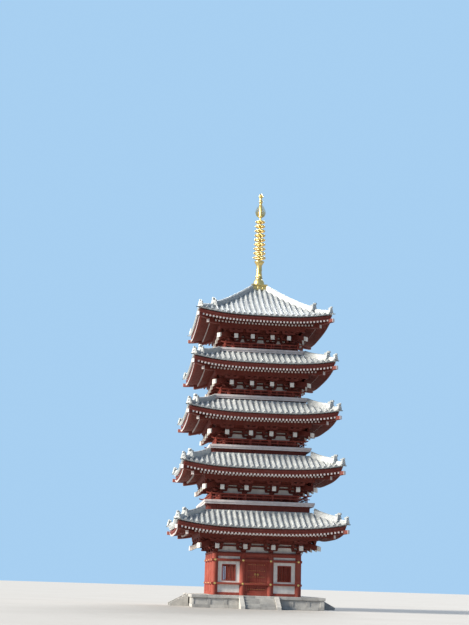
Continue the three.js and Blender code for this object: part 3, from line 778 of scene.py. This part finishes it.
def arm_outline(reach, low, high, back=None):
    """A bracket arm's side view, its lower end rounded up to a plumb end; both ends if back is None."""
    tall = high - low
    curve = [(reach - 0.75 * tall * (1 - math.sin(a)), low + 0.65 * tall * (1 - math.cos(a)))
             for a in np.linspace(0, math.pi / 2, 5)]
    if back is None:
        return [(-x, z) for x, z in reversed(curve)] + curve + [(reach, high), (-reach, high)]
    return [(back, low)] + curve + [(reach, high), (back, high)]


def slanted(out0, out1, z0, z1, tall):
    return [(out0, z0), (out1, z1), (out1, z1 + tall), (out0, z0 + tall)]


def arms_out(storey, timber, pale, angles):
    """Two steps of arms out from the wall, and a sloped tail with a white painted end."""
    diagonal = angles == CORNERS
    stretch = ROOT if diagonal else 1
    places = np.zeros(1) if diagonal else storey.places()
    inner = places if diagonal else places[1:3]
    foot = storey.half * stretch
    for reach, tier, at in ((ARM["reach"], TIER_1, inner), (ARM["second_reach"], TIER_2, places)):
        outline = pitch_points(storey, arm_outline(reach * stretch, *tier, ARM["back"]))
        timber.add(plates(outline, ARM["width"] * PITCH, at, foot), angles)
    root, end, bottom = TAIL["root"] * stretch, TAIL["end"] * stretch, TAIL["bottom"]
    slope = TAIL["slope"] / stretch
    tail = slanted(root, end, bottom + slope * (end - root), bottom, TAIL["height"])
    timber.add(plates(pitch_points(storey, tail), TAIL["width"] * PITCH, places, foot), angles)
    wrap, proud = TAIL["white_wrap"], TAIL["white_proud"]
    bottom -= proud
    tip = slanted(end - wrap, end + 0.06, bottom + slope * wrap, bottom, TAIL["height"] + 2 * proud)
    pale.add(plates(pitch_points(storey, tip), (TAIL["width"] + 2 * proud) * PITCH, places, foot), angles)


def cross_arms(storey, piece):
    """The arms that run along the wall, on the column line, the first step and under the purlin."""
    for out, tier in ((0, TIER_1), (STEP, TIER_2), (PURLIN, (-3.3, -2.75))):
        outline = pitch_points(storey, arm_outline(ARM["reach"], *tier))
        piece.add(plates(outline, ARM["width"] * PITCH, storey.places(), storey.out(out), True))


def bearing_blocks(storey, piece):
    """Blocks with a straight upper and a tapered lower half, on the columns and on the arms."""
    places = storey.places()
    side = 1.7 * PITCH
    double = np.concatenate([places - side, places + side])
    triple = np.concatenate([double, places])
    on_columns = np.concatenate([double, places[:3]])
    for at, out, low, high, size in (
            (places[:3], 0, -6.0, -5.4, 1.5), (on_columns, 0, -4.85, -4.45, BLOCK),
            (places, STEP, -4.85, -4.45, BLOCK), (double, STEP, -3.95, -3.55, BLOCK),
            (on_columns, 0, -3.95, -3.55, BLOCK), (places, PURLIN, -3.8, -3.3, 1.0),
            (triple, PURLIN, -2.75, -2.35, BLOCK)):
        half, z0, tall = size * PITCH / 2, storey.z(low), (high - low) * PITCH
        profile = [(0.68 * half, z0), (0.82 * half, z0 + 0.25 * tall), (half, z0 + 0.45 * tall),
                   (half, z0 + tall)]
        piece.add(lathe(profile, SQUARE, xyz(at, -storey.out(out), 0)))


def cove(storey, piece):
    """Ribbed boards: a curved strip up to the purlin and a flat one beside the wall."""
    for line in COVE_LINES:
        low = [(storey.out(x), storey.z(z)) for x, z in line]
        high = [(r, z + COVE["board"]) for r, z in reversed(low)]
        piece.add(square_ring(low + high), ONCE)
        outline = [(x, z - COVE["rib_depth"]) for x, z in pitch_points(storey, line)]
        outline += [(x, z + COVE["rib_depth"]) for x, z in reversed(outline)]
        count = int(2 * storey.half / COVE["rib_spacing"])
        places = (np.arange(count) - (count - 1) / 2) * 2 * storey.half / count
        piece.add(plates(outline, COVE["rib_width"], places, storey.half))


def brackets(storey):
    timber, pale = pieces(f"{storey.name}_brackets", timber=shade_darkened_red, white=white)
    for angles in (SIDES, CORNERS):
        arms_out(storey, timber, pale, angles)
    cross_arms(storey, timber)
    bearing_blocks(storey, timber)
    for outs, heights in RING_BEAMS:
        pitch_band(storey, timber, outs, heights, 0.012)
    cove(storey, timber)
    wall = storey.out(-0.12)
    for piece, low, high in ((pale, -6.0, -4.4), (pale, -4.0, -3.5), (timber, -3.1, 1.3)):
        piece.band(wall - 0.1, wall, storey.z(low), storey.z(high))
    if storey is ground:
        ceiling(timber)


def ceiling(piece):
    """The ground room's ceiling: boards on a grid of battens."""
    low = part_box("storey_1_brackets")[0].z
    half = ground.half - PITCH
    piece.add(spans((-half, half), (-half, half), (low + 0.045, low + 0.06)), ONCE)
    lines = np.linspace(-half, half, 12)
    for a in (0, 90):
        piece.add(spans((lines - 0.03, lines + 0.03), (-half, half), (low, low + 0.05), 0.006), (a,))


# Upper storeys: body, balcony and railing

UPPER_COLUMN = 0.19
FLOOR_THICK = 0.14
WALL = {"behind": 0.25, "half": 0.07, "foot": 0.13, "head": 0.11}
DECK = -8.5
BOARD = {"width": 0.22, "gap": 0.005, "thick": 0.09, "chamfer": 0.006}
RAIL = {"reach": 3.0, "top": -6.1, "past": 0.32, "curl": 0.07, "post": 0.04, "strut": 0.03,
        "spacing": 2.4 * PITCH}


def columns(storey, piece, radius, low, high, corners=24):
    profile = [(radius, low), (radius, low + 0.75 * (high - low)), (radius * 0.94, high - 0.02),
               (radius * 0.9, high)]
    piece.add(lathe(profile, circle(1, corners), xyz(storey.places()[:3], -storey.half, 0)))


def window_bars(piece, x0, x1, out, low, high, spacing=0.11):
    """Upright square bars set corner to corner in a window."""
    count = max(2, int(round((x1 - x0) / spacing)))
    x = x0 + (np.arange(count) + 0.5) * (x1 - x0) / count
    half = math.sqrt(0.5)
    axes = np.tile([[half, half, 0], [-half, half, 0], [0, 0, 1.0]], (count, 1, 1))
    piece.add(boxes(xyz(x, -out, (low + high) / 2), [0.045, 0.045, high - low], axes))


def frame_round(piece, x0, x1, out, low, high, width, depth):
    """A window's frame of four members."""
    whole, upright = (x0 - width, x1 + width), (low, high)
    for x, z in ((whole, (low - width, low)), (whole, (high, high + width)), ((x0 - width, x0), upright),
                 ((x1, x1 + width), upright)):
        piece.add(spans(x, about(-out, depth / 2), z, 0.008))


def upper_body(storey):
    """Columns, plank walls with a barred window in each side bay, and a closed pair of plank doors."""
    node = f"{storey.name}_body"
    [timber] = pieces(node, timber=sky_lit_red)
    foot, floor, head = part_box(node)[0].z, storey.z(DECK), storey.edge - PLATE_BELOW_EDGE
    low, high = floor + WALL["foot"], head - WALL["head"]
    wall = storey.out(-WALL["behind"]) - WALL["half"]
    columns(storey, timber, UPPER_COLUMN, floor, head)
    for heights in ((foot, low), (high, head)):
        timber.band(*about(wall, WALL["half"]), *heights)
    for heights in ((floor, floor + 0.1), (head - 0.12, head)):
        timber.band(*about(storey.half, 0.1), *heights, 0.01)
    timber.add(spans((-wall, wall), (-wall, wall), (floor - FLOOR_THICK, floor)), ONCE)
    side_bay = (storey.half - storey.bay) / 2
    wide = side_bay - 1.3 * PITCH
    for middle in (-storey.bay - side_bay, storey.bay + side_bay):
        x0, x1 = middle - wide, middle + wide
        frame_round(timber, x0, x1, wall + 0.03, low + 0.03, high - 0.03, 0.05, 0.16)
        window_bars(timber, x0, x1, wall, low, high)
        for x in ((middle - side_bay, x0), (x1, middle + side_bay)):
            timber.add(spans(x, (-wall - 0.05, -wall + 0.05), (low, high)))
    for hand in (-1, 1):
        leaf = sorted((hand * 0.01, hand * (storey.bay - UPPER_COLUMN)))
        timber.add(spans(leaf, (-wall - 0.04, -wall + 0.04), (low, high), 0.01))
        planks = between(np.linspace(*leaf, 5), 0.012)
        timber.add(spans(planks, (-wall - 0.06, -wall), (low + 0.03, high - 0.03), 0.008))


def balcony(storey, below):
    """A deck of mitred boards, its two-step edge, and the base band that stands on the roof below."""
    node = f"{storey.name}_balcony"
    planks, edge, base = pieces(node, deck=boards, edge=shade_darkened_white, base=shade_darkened_red)
    deck, low = storey.z(DECK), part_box(node)[0].z
    under, gap = deck - BOARD["thick"], BOARD["gap"]
    rim = storey.half + BALCONY_REACH
    inner_rim = rim - 0.5 * PITCH
    edges = np.linspace(-inner_rim, inner_rim, int(2 * inner_rim / BOARD["width"]) + 1)
    for x0, x1 in zip(*between(edges, gap)):
        r0, r1 = (max(storey.half + UPPER_COLUMN, abs(x)) for x in (x0, x1))
        loop = np.array([(x0, -r0), (x1, -r1), (x1, -inner_rim), (x0, -inner_rim)])
        rings = np.array([xyz(*loop.T, z) for z in (under, deck - BOARD["chamfer"], deck)])
        rings[2, :, 0] += [gap, -gap, -gap, gap]
        planks.add(loft(rings))
    edge.band(inner_rim, rim, storey.z(-8.85), storey.z(-8.2), 0.015)
    edge.band(inner_rim, rim - 0.05, storey.z(-9.35), storey.z(-8.84), 0.01)
    inner, outer = storey.out(2.6), storey.out(3.6)
    base.band(inner, outer, low, under)
    if deck - below.top > 0.5:
        last = int(outer / (2 * PITCH))
        posts = np.arange(-last, last + 1) * 2 * PITCH
        base.add(spans(about(posts, 0.06), (-outer - 0.05, -outer + 0.02), (low, deck - 0.16), 0.008))
    base.band(outer, inner_rim, max(deck - 0.2, below.top + 0.02), under)


def rail_line(piece, line, z, radius, corners, past, curl=0.0):
    """A rail along the front that runs past both corners, its ends rising a little if it has a curl."""
    x = np.concatenate([np.linspace(-line - past, -line, 5), np.linspace(line, line + past, 5)])
    rise = curl * np.clip((np.abs(x) - line) / past, 0, 1) ** 1.6
    back, up = circle(radius, corners, math.pi / corners).T
    piece.add(loft(xyz(x[:, None], back - line, z + rise[:, None] + up)))


def railing(storey):
    """Three rails with crossing ends, posts under the top rail, and struts and waisted props between."""
    [piece] = pieces(f"{storey.name}_railing", timber=sky_lit_red)
    line = storey.out(RAIL["reach"])
    deck, top = storey.z(DECK), storey.z(RAIL["top"])
    middle = (deck + top) / 2
    rail_line(piece, line, deck + 0.05, 0.062, 4, 0.12)
    rail_line(piece, line, middle + 0.03, 0.04, 4, 0.2)
    rail_line(piece, line, top - 0.045, 0.045, 12, RAIL["past"], RAIL["curl"])
    posts = np.array([-line, -storey.bay, storey.bay])
    piece.add(spans(about(posts, RAIL["post"]), about(-line, RAIL["post"]), (deck, top - 0.05), 0.006))
    count = int(2 * line / RAIL["spacing"])
    struts = (np.arange(1, count) - count / 2) * 2 * line / count
    piece.add(spans(about(struts, RAIL["strut"]), about(-line, 0.028), (deck + 0.08, middle), 0.005))
    low, high = middle + 0.05, top - 0.085
    profile = [(0.022, low), (0.022, low + 0.4 * (high - low)), (0.05, high - 0.03), (0.05, high)]
    piece.add(lathe(profile, SQUARE, xyz(struts, -line, 0)))


# Ground storey

GROUND_COLUMN = 0.225
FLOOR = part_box("stone_platform")[1].z
SILL_TOP = FLOOR + 0.18
GROUND_PLATE = ground.edge - PLATE_BELOW_EDGE
DOOR_HEAD = FLOOR + 2.25
WINDOW = {"half": 0.48, "low": FLOOR + 0.95, "high": FLOOR + 2.05, "frame": 0.06}
SIDE_NAMES = ["front", "right", "back", "left"]
NAIL_COVER = ((0.075, 0.245), (0.075, 0.258), (0.05, 0.268), (0.03, 0.268), (0.022, 0.285), (0.0, 0.29))
STUD = ((1, 0.0), (1, 0.3), (0.8, 0.7), (0.45, 0.95), (0, 1.05))


def ground_frame():
    """Columns with sill, head and outer rails, and gilt covers where the rails are nailed."""
    piece = Piece("ground_frame_timber", sky_lit_red, ["storey_1_frame"])
    columns(ground, piece, GROUND_COLUMN, FLOOR, GROUND_PLATE, 32)
    h = ground.half
    for r0, r1, low, high in ((h - 0.12, h + 0.12, FLOOR, SILL_TOP),
                              (h - 0.12, h + 0.12, GROUND_PLATE - 0.2, GROUND_PLATE),
                              (h + 0.06, h + 0.25, DOOR_HEAD, DOOR_HEAD + 0.17),
                              (h + 0.06, h + 0.25, FLOOR + 0.7, FLOOR + 0.84)):
        piece.band(r0, r1, low, high, 0.012)
    covers = Piece("ground_nail_covers", gilt)
    for z in (DOOR_HEAD + 0.085, FLOOR + 0.77):
        for x in ground.places():
            covers.add(boss(NAIL_COVER, 12, x, -h, z))


def ground_windows():
    """Frames and bars of the side bays' windows. The plaster round them is the CAD's."""
    piece = Piece("ground_windows_timber", sky_lit_red)
    middle, wide, edge = (ground.half + ground.bay) / 2, WINDOW["half"], WINDOW["frame"]
    low, high = WINDOW["low"] + edge, WINDOW["high"] - edge
    for centre in (-middle, middle):
        x0, x1 = centre - wide + edge, centre + wide - edge
        frame_round(piece, x0, x1, ground.half, low, high, edge, 0.17)
        window_bars(piece, x0, x1, ground.half, low, high, 0.095)


def stud(piece, x, y, z, radius):
    """A domed nail head facing the front."""
    piece.add(boss([(radius * share, radius * out) for share, out in STUD], 10, x, y, z))


def ring_pull(piece, x, y, z):
    """A round plate with a hanging ring."""
    stud(piece, x, y, z, 0.045)
    across, out = circle(0.009, 6).T
    down, aside = circle(1, 20).T[..., None] * (0.06 + across)
    piece.add(loft(xyz(x + aside, y - 0.04 + out, z - 0.05 - down), closed_path=True))


def doors():
    """Plank doors in a deep frame, with ledges, studs and ring pulls, and a boarded panel over them."""
    timber = Piece("ground_doors_timber", sky_lit_red, [f"{name}_doors" for name in SIDE_NAMES])
    metal = Piece("ground_door_fittings", gilt)
    face = -ground.half
    edge = ground.bay - GROUND_COLUMN + 0.02
    clear = ground.bay - GROUND_COLUMN - 0.13
    low, high = SILL_TOP + 0.13, DOOR_HEAD - 0.065
    for x, z in (((-edge, -clear), (SILL_TOP, DOOR_HEAD)), ((clear, edge), (SILL_TOP, DOOR_HEAD)),
                 ((-clear, clear), (SILL_TOP, low)), ((-clear, clear), (high, DOOR_HEAD))):
        timber.add(spans(x, (face - 0.08, face + 0.06), z, 0.01))
    panel_top = GROUND_PLATE - 0.2
    timber.add(spans((-edge, edge), (face - 0.05, face + 0.05), (DOOR_HEAD, panel_top)))
    over = between(np.linspace(-edge, edge, 9), 0.006)
    timber.add(spans(over, (face - 0.06, face), (DOOR_HEAD + 0.17, panel_top), 0.008))
    ledges = np.linspace(low + 0.12, high - 0.12, 5)
    for hand in (-1, 1):
        a, b = sorted((hand * 0.008, hand * clear))
        planks = between(np.linspace(a, b, 5), 0.003)
        timber.add(spans(planks, (face - 0.03, face + 0.03), (low, high), 0.006))
        timber.add(spans((a, b), (face - 0.05, face - 0.028), (ledges - 0.05, ledges + 0.05), 0.006))
        for z, x in product(ledges, np.linspace(a + 0.07, b - 0.07, 4)):
            stud(metal, x, face - 0.05, z, 0.024)
        ring_pull(metal, hand * 0.09, face - 0.05, (low + high) / 2 + 0.2)


# Stone base

JOINT = 0.004
PLINTH = 0.2
COPING = {"height": 0.2, "lip": 0.06, "stone": 1.12}
STEPS = {"risers": 5, "going": 0.28, "width": 2.1, "cheek": 0.3}


def split(low, high, size):
    """Edges of equal parts of about a size."""
    return np.linspace(low, high, max(1, round((high - low) / size)) + 1)


def platform():
    """Dressed stones: a plinth course, panels between posts, an overhanging coping and a paved top."""
    piece = Piece("platform_stones", stone, ["stone_platform"])
    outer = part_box("stone_platform")[1].x
    half, bevel = outer - COPING["lip"], 0.012
    coping_low = FLOOR - COPING["height"]
    for face, depth, z, size in ((outer, 0.5, (coping_low, FLOOR), COPING["stone"]),
                                 (half, 0.4, (0.0, PLINTH), 1.3)):
        stones = between(split(-face, face - depth, size), JOINT)
        piece.add(spans(stones, (-face, -face + depth), z, bevel))
    edges = split(-half, half, COPING["stone"])
    panel = half - 0.035
    piece.add(spans(between(edges, 0.13), (-panel, -panel + 0.3), (PLINTH, coping_low), bevel))
    posts = np.maximum(edges[:-1] - 0.126, -half), edges[:-1] + 0.126
    piece.add(spans(posts, (-half + JOINT, -half + 0.3), (PLINTH, coping_low), bevel))
    inner = outer - 0.5
    slabs = split(-inner, inner, 0.62)
    x, y = (corner.reshape(-1) + JOINT for corner in np.meshgrid(slabs[:-1], slabs[:-1]))
    size = slabs[1] - slabs[0] - 2 * JOINT
    piece.add(spans((x, x + size), (y, y + size), (FLOOR - 0.12, FLOOR - 0.003), 0.008), ONCE)
    core = half - 0.1
    piece.add(spans((-core, core), (-core, core), (0.01, FLOOR - 0.02)), ONCE)


def steps():
    """Four treads of two stones each, between sloping cheek stones."""
    piece = Piece("step_stones", stone, [f"{name}_steps" for name in SIDE_NAMES])
    rise = FLOOR / STEPS["risers"]
    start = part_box("front_steps")[1].y
    half, cheek = STEPS["width"] / 2, STEPS["cheek"]
    for step in range(1, STEPS["risers"]):
        out = start - STEPS["going"] * (STEPS["risers"] - step)
        treads = between(split(-half, half, 1.05), 0.003)
        piece.add(spans(treads, (out, start), (rise * (step - 1), rise * step), 0.01))
    end = STEPS["going"] * (STEPS["risers"] - 1) + cheek / 2
    outline = [(0, 0), (end, 0), (end, rise), (0, FLOOR)]
    piece.add(plates(outline, cheek - 0.01, about(0, half + cheek / 2), -start))


# Finial. Each part gets its piece, its node's lowest and highest z, and its reach from the axis.

NECK = 0.85 * PITCH
RINGS = {"count": 9, "first": 1.2, "spacing": 1.5, "radius": 1.95, "shrink": 0.014, "mast": 0.085,
         "spokes": 8, "beads": 16}
HUB = ((0.13, -0.11), (0.13, -0.05), (0.115, 0), (0.13, 0.05), (0.13, 0.11))
SLEEVE = 0.12
# A flame's tongues: foot and tip as shares of its reach and height, then bulge and width
TONGUES = (((0.1, 0.02), (0.80, 0.30), 0.12, 0.10), ((0.1, 0.06), (1.0, 0.44), 0.10, 0.11),
           ((0.12, 0.20), (0.84, 0.62), 0.14, 0.10), ((0.12, 0.34), (0.66, 0.78), 0.12, 0.09),
           ((0.12, 0.50), (0.46, 0.92), 0.10, 0.08), ((0.1, 0.62), (0.24, 1.0), 0.06, 0.06))


def finial_box(piece, z0, z1, reach):
    """A square box with a moulded foot and lid, and three raised panels a side."""
    half = reach - 0.06
    tall = z1 - z0
    section = [(0.001, z0), (half + 0.03, z0), (half + 0.03, z0 + 0.05), (half, z0 + 0.06),
               (half, z0 + 0.68 * tall), (half + 0.025, z0 + 0.72 * tall), (reach, z0 + 0.78 * tall),
               (reach, z1 - 0.012), (half + 0.048, z1), (0.001, z1)]
    piece.add(square_ring(section), ONCE)
    panels, wide = np.array([-1, 0, 1]) * half * 0.62, half * 0.26
    piece.add(spans((panels - wide, panels + wide), (-half - 0.015, -half + 0.02),
                    (z0 + 0.1, z0 + 0.64 * tall), 0.012))


def finial_bowl(piece, z0, z1, reach):
    """An upturned bowl on a low drum."""
    tall = z1 - z0
    dome = [(reach * (0.52 + 0.48 * math.cos(a * math.pi / 2) ** 0.8),
             z0 + tall * (0.12 + 0.88 * math.sin(a * 1.45))) for a in np.linspace(0, 1, 12)]
    profile = [(0.001, z0), (reach, z0), (reach, z0 + 0.1 * tall)] + dome + [(0.001, z1)]
    piece.add(lathe(profile, circle(1, 48)), ONCE)


def petal_ring(piece, foot_radius, top_radius, z0, z1, width, first=0.0):
    """Eight upright petals round the axis, each a thin curved leaf with a turned-out point."""
    v, u = np.linspace(0, 1, 7)[:, None], np.linspace(-1, 1, 5)
    x = width * np.sin(np.pi * (0.18 + 0.80 * v)) ** 0.8 * u
    radius = foot_radius + (top_radius - foot_radius) * v ** 1.8
    z = z0 + (z1 - z0) * v
    outer, inner = (xyz(x, -(radius - thick - 0.25 * width * u ** 2 * (1 - 0.4 * v)), z)
                    for thick in (0.0, 0.014))
    piece.add(loft(np.concatenate([outer, inner[:, ::-1]], 1)), around(8, first))


def finial_lotus(piece, z0, z1, reach):
    """A waisted column with two collars, opening in two rings of leaves, over a ring at its foot."""
    profile = [(0.001, z0), (PITCH, z0), (PITCH, z0 + 0.05), (0.92 * PITCH, z0 + 0.1), (NECK, z0 + 0.16)]
    for share in (0.3, 0.52):
        z = z0 + share * (z1 - z0)
        profile += [(NECK, z - 0.03), (NECK + 0.025, z - 0.02), (NECK + 0.025, z + 0.02), (NECK, z + 0.03)]
    profile += [(NECK, z1 - 1.4 * PITCH), (1.1 * PITCH, z1 - 0.95 * PITCH),
                (1.35 * PITCH, z1 - 0.5 * PITCH), (1.45 * PITCH, z1 - 0.1), (1.45 * PITCH, z1), (0.001, z1)]
    piece.add(lathe(profile, circle(1, 40)), ONCE)
    petal_ring(piece, NECK + 0.01, reach, z1 - 1.35 * PITCH, z1 - 0.02, 0.17)
    petal_ring(piece, NECK + 0.03, reach - 0.03, z1 - 1.2 * PITCH, z1, 0.13, 22.5)
    petal_ring(piece, NECK + 0.005, 1.25 * PITCH, z0 + 0.42, z0 + 0.08, 0.14)


def torus(piece, radius, half_width, half_height, z, corners=40):
    out, up = (circle(1, 8, math.pi / 8) * [half_width, half_height]).T
    x, y = circle(1, corners).T[..., None] * (radius + out)
    piece.add(loft(xyz(x, y, z + up), closed_path=True), ONCE)


def finial_mast_and_rings(piece, z0, z1, _):
    """The mast, and nine openwork rings with a hub, spokes and a beaded rim."""
    mast = RINGS["mast"]
    piece.add(lathe([(mast, z0), (mast, z1)], circle(1, 24)), ONCE)
    for n in range(RINGS["count"]):
        z = z0 + (RINGS["first"] + n * RINGS["spacing"]) * PITCH
        radius = RINGS["radius"] * PITCH - n * RINGS["shrink"]
        torus(piece, radius - 0.035, 0.035, 0.05, z)
        torus(piece, radius * 0.62, 0.014, 0.02, z)
        hub = [(mast, z - 0.12), *((r, z + up) for r, up in HUB), (mast, z + 0.12)]
        piece.add(lathe(hub, circle(1, 24)), ONCE)
        spoke = beams([0, -0.11, z], [0, -radius + 0.05, z], 0.035, 0.045, 0.006)
        piece.add(spoke, around(RINGS["spokes"]))
        piece.add(boxes([0, -radius, z], [0.05, 0.03, 0.07], bevel=0.012), around(RINGS["beads"]))


def flame_tongue(foot, tip, bend, width):
    """A tapering curved blade from foot to tip in the upright plane, bulging outward by bend."""
    t = np.linspace(0, 1, 12)[:, None]
    foot, tip = np.array(foot, float), np.array(tip, float)
    line = foot + (tip - foot) * t + [bend, 0] * np.sin(math.pi * t) * (1 - 0.3 * t)
    direction = unit(np.gradient(line, axis=0))
    across = direction[:, ::-1] * [-1, 1] * (width / 2 * (1 - t ** 1.6) + 0.004)
    thick = 0.022 * (1 - 0.5 * t[:, 0])
    low, high = about(line, across)
    edges = [xyz(hand * thick, -out, z)
             for hand, (out, z) in ((-1, low.T), (1, low.T), (1, high.T), (-1, high.T))]
    return loft(np.stack(edges, 1))


def finial_flame(piece, z0, z1, reach):
    """Four openwork flames of curling tongues, tied back to a sleeve on the mast."""
    mast, tall = RINGS["mast"], z1 - z0
    profile = [(mast, z0), (SLEEVE, z0), (SLEEVE + 0.015, z0 + 0.03), (SLEEVE, z0 + 0.06),
               (SLEEVE, z1 - 0.06), (SLEEVE + 0.015, z1 - 0.03), (mast, z1)]
    piece.add(lathe(profile, circle(1, 24)), ONCE)
    size = np.array([reach, tall])
    for foot, tip, bend, width in TONGUES:
        piece.add(flame_tongue([0, z0] + size * foot, [0, z0] + size * tip, bend, width))
    for share, along in ((0.16, 0.5), (0.36, 0.62), (0.56, 0.5)):
        start, end = [0, -0.1, z0 + share * tall], [0, -along * reach, z0 + (share + 0.05) * tall]
        piece.add(beams(start, end, 0.03, 0.035, 0.005))


def finial_ball(piece, z0, z1, reach):
    middle = (z0 + z1) / 2
    profile = [(reach * math.cos(a), middle + reach * math.sin(a)) for a in np.linspace(-1.3, 1.3, 18)]
    piece.add(lathe(profile, circle(1, 36)), ONCE)
    for z in (middle - 0.98 * reach, middle + 0.98 * reach):
        torus(piece, 0.1, 0.02, 0.02, z, 24)


def finial_jewel(piece, z0, z1, reach):
    """A pointed jewel held by four small flames."""
    tall = z1 - z0
    profile = [(0.001, z0), (0.4 * reach, z0)]
    profile += [(reach * math.sin(math.pi * t ** 0.75) ** 0.8 * (1 - 0.12 * t) + 0.002, z0 + tall * t)
                for t in np.linspace(0.05, 1, 16)]
    piece.add(lathe(profile, circle(1, 32)), ONCE)
    piece.add(flame_tongue((0.75 * reach, z0 + 0.2 * tall), (0.3 * reach, z1), 0.07, 0.05), CORNERS)


# Assembly

for below, storey in zip([None, *storeys], storeys):
    roof(storey)
    eaves(storey)
    brackets(storey)
    if storey is not ground:
        upper_body(storey)
        balcony(storey, below)
        railing(storey)
ground_frame()
ground_windows()
doors()
platform()
steps()
for make in (finial_box, finial_bowl, finial_lotus, finial_mast_and_rings, finial_flame, finial_ball,
             finial_jewel):
    node = make.__name__
    low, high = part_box(node)
    make(Piece(f"{node}_gilt".replace("mast_and_", ""), gilt, [node]), low.z, high.z, high.x)
for piece in Piece.made:
    piece.build()
for side_name, hand_name in product(SIDE_NAMES, ("left", "right")):
    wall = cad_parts[f"{side_name}_wall_{hand_name}"]
    wall.data.materials.clear()
    wall.data.materials.append(white)

# Floor, light and camera

FLOOR_HALF = 400
# A low, warm key from the left and front, as in the photograph, and a cool rim light from behind
KEY = {"azimuth": 14, "elevation": 27, "strength": 8.0, "spread": 16, "colour": (1.0, 0.94, 0.84)}
RIM = {"azimuth": 250, "elevation": 40, "strength": 2.4, "spread": 30, "colour": (0.92, 0.96, 1.0)}
FILL = {"colour": (0.50, 0.70, 1.0), "strength": 0.6}
BACKDROP = {"colour": (0.41, 0.66, 0.93), "strength": 0.95}
# The photograph's view: a long lens from the ground, a little left of the front and tilted up
VIEW = {"distance": 80.0, "height": 1.6, "azimuth": -6.98, "yaw": -1.27, "pitch": 13.94, "roll": 1.77}
FOCAL_PIXELS = 1092
LONG_SIDE_PIXELS = 625
SENSOR = 36.0


def link(name, data):
    thing = bpy.data.objects.new(name, data)
    bpy.context.scene.collection.objects.link(thing)
    return thing


def studio_floor():
    n = Nodes("studio_floor")
    shade = n.ramp(n.noise(0.15, 3), (0.3, (0.37, 0.345, 0.31)), (0.7, (0.40, 0.375, 0.34)))
    mesh = bpy.data.meshes.new("studio_floor")
    mesh.from_pydata(xyz(*SQUARE.T * FLOOR_HALF, 0), [], [(0, 1, 2, 3)])
    mesh.materials.append(n.finish(shade, 0.9, (n.noise(3), 0.002)))
    link("studio_floor", mesh)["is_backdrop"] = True


def sky():
    """A plain pale blue backdrop, and a dimmer blue fill for what it lights."""
    world = bpy.data.worlds.new("studio")
    bpy.context.scene.world = world
    world.use_nodes = True
    tree = world.node_tree
    shown = tree.nodes.new("ShaderNodeMixShader")
    tree.links.new(tree.nodes.new("ShaderNodeLightPath").outputs["Is Camera Ray"], shown.inputs["Fac"])
    for part, socket in ((FILL, 1), (BACKDROP, 2)):
        background = tree.nodes.new("ShaderNodeBackground")
        background.inputs["Color"].default_value = (*part["colour"], 1)
        background.inputs["Strength"].default_value = part["strength"]
        tree.links.new(background.outputs["Background"], shown.inputs[socket])
    tree.links.new(shown.outputs["Shader"], tree.nodes["World Output"].inputs["Surface"])


def sun(name, values):
    data = bpy.data.lights.new(name, "SUN")
    data.energy = values["strength"]
    data.color = values["colour"]
    data.angle = math.radians(values["spread"])
    azimuth, elevation = math.radians(values["azimuth"]), math.radians(values["elevation"])
    level = math.cos(elevation)
    towards = Vector((level * math.cos(azimuth), level * math.sin(azimuth), -math.sin(elevation)))
    link(name, data).rotation_euler = towards.to_track_quat("-Z", "Y").to_euler()


def camera():
    a = math.radians(VIEW["azimuth"])
    place = np.array([VIEW["distance"] * math.sin(a), -VIEW["distance"] * math.cos(a), VIEW["height"]])
    heading = math.atan2(-place[0], -place[1]) + math.radians(VIEW["yaw"])
    pitch, roll = math.radians(VIEW["pitch"]), math.radians(VIEW["roll"])
    forward = np.array([math.sin(heading) * math.cos(pitch), math.cos(heading) * math.cos(pitch),
                        math.sin(pitch)])
    level = unit(np.cross(forward, UP))
    right = level * math.cos(roll) + np.cross(level, forward) * math.sin(roll)
    axes = np.array([right, np.cross(right, forward), -forward]).T
    data = bpy.data.cameras.new("camera")
    data.sensor_width = SENSOR
    data.lens = FOCAL_PIXELS * SENSOR / LONG_SIDE_PIXELS
    data.clip_start = 0.5
    data.clip_end = 1000
    view = link("camera", data)
    view.matrix_world = Matrix([[*row, p] for row, p in zip(axes, place)] + [[0, 0, 0, 1]])
    bpy.context.scene.camera = view


studio_floor()
sky()
sun("key", KEY)
sun("rim", RIM)
camera()
bpy.context.scene.view_settings.view_transform = "Standard"

low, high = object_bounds()
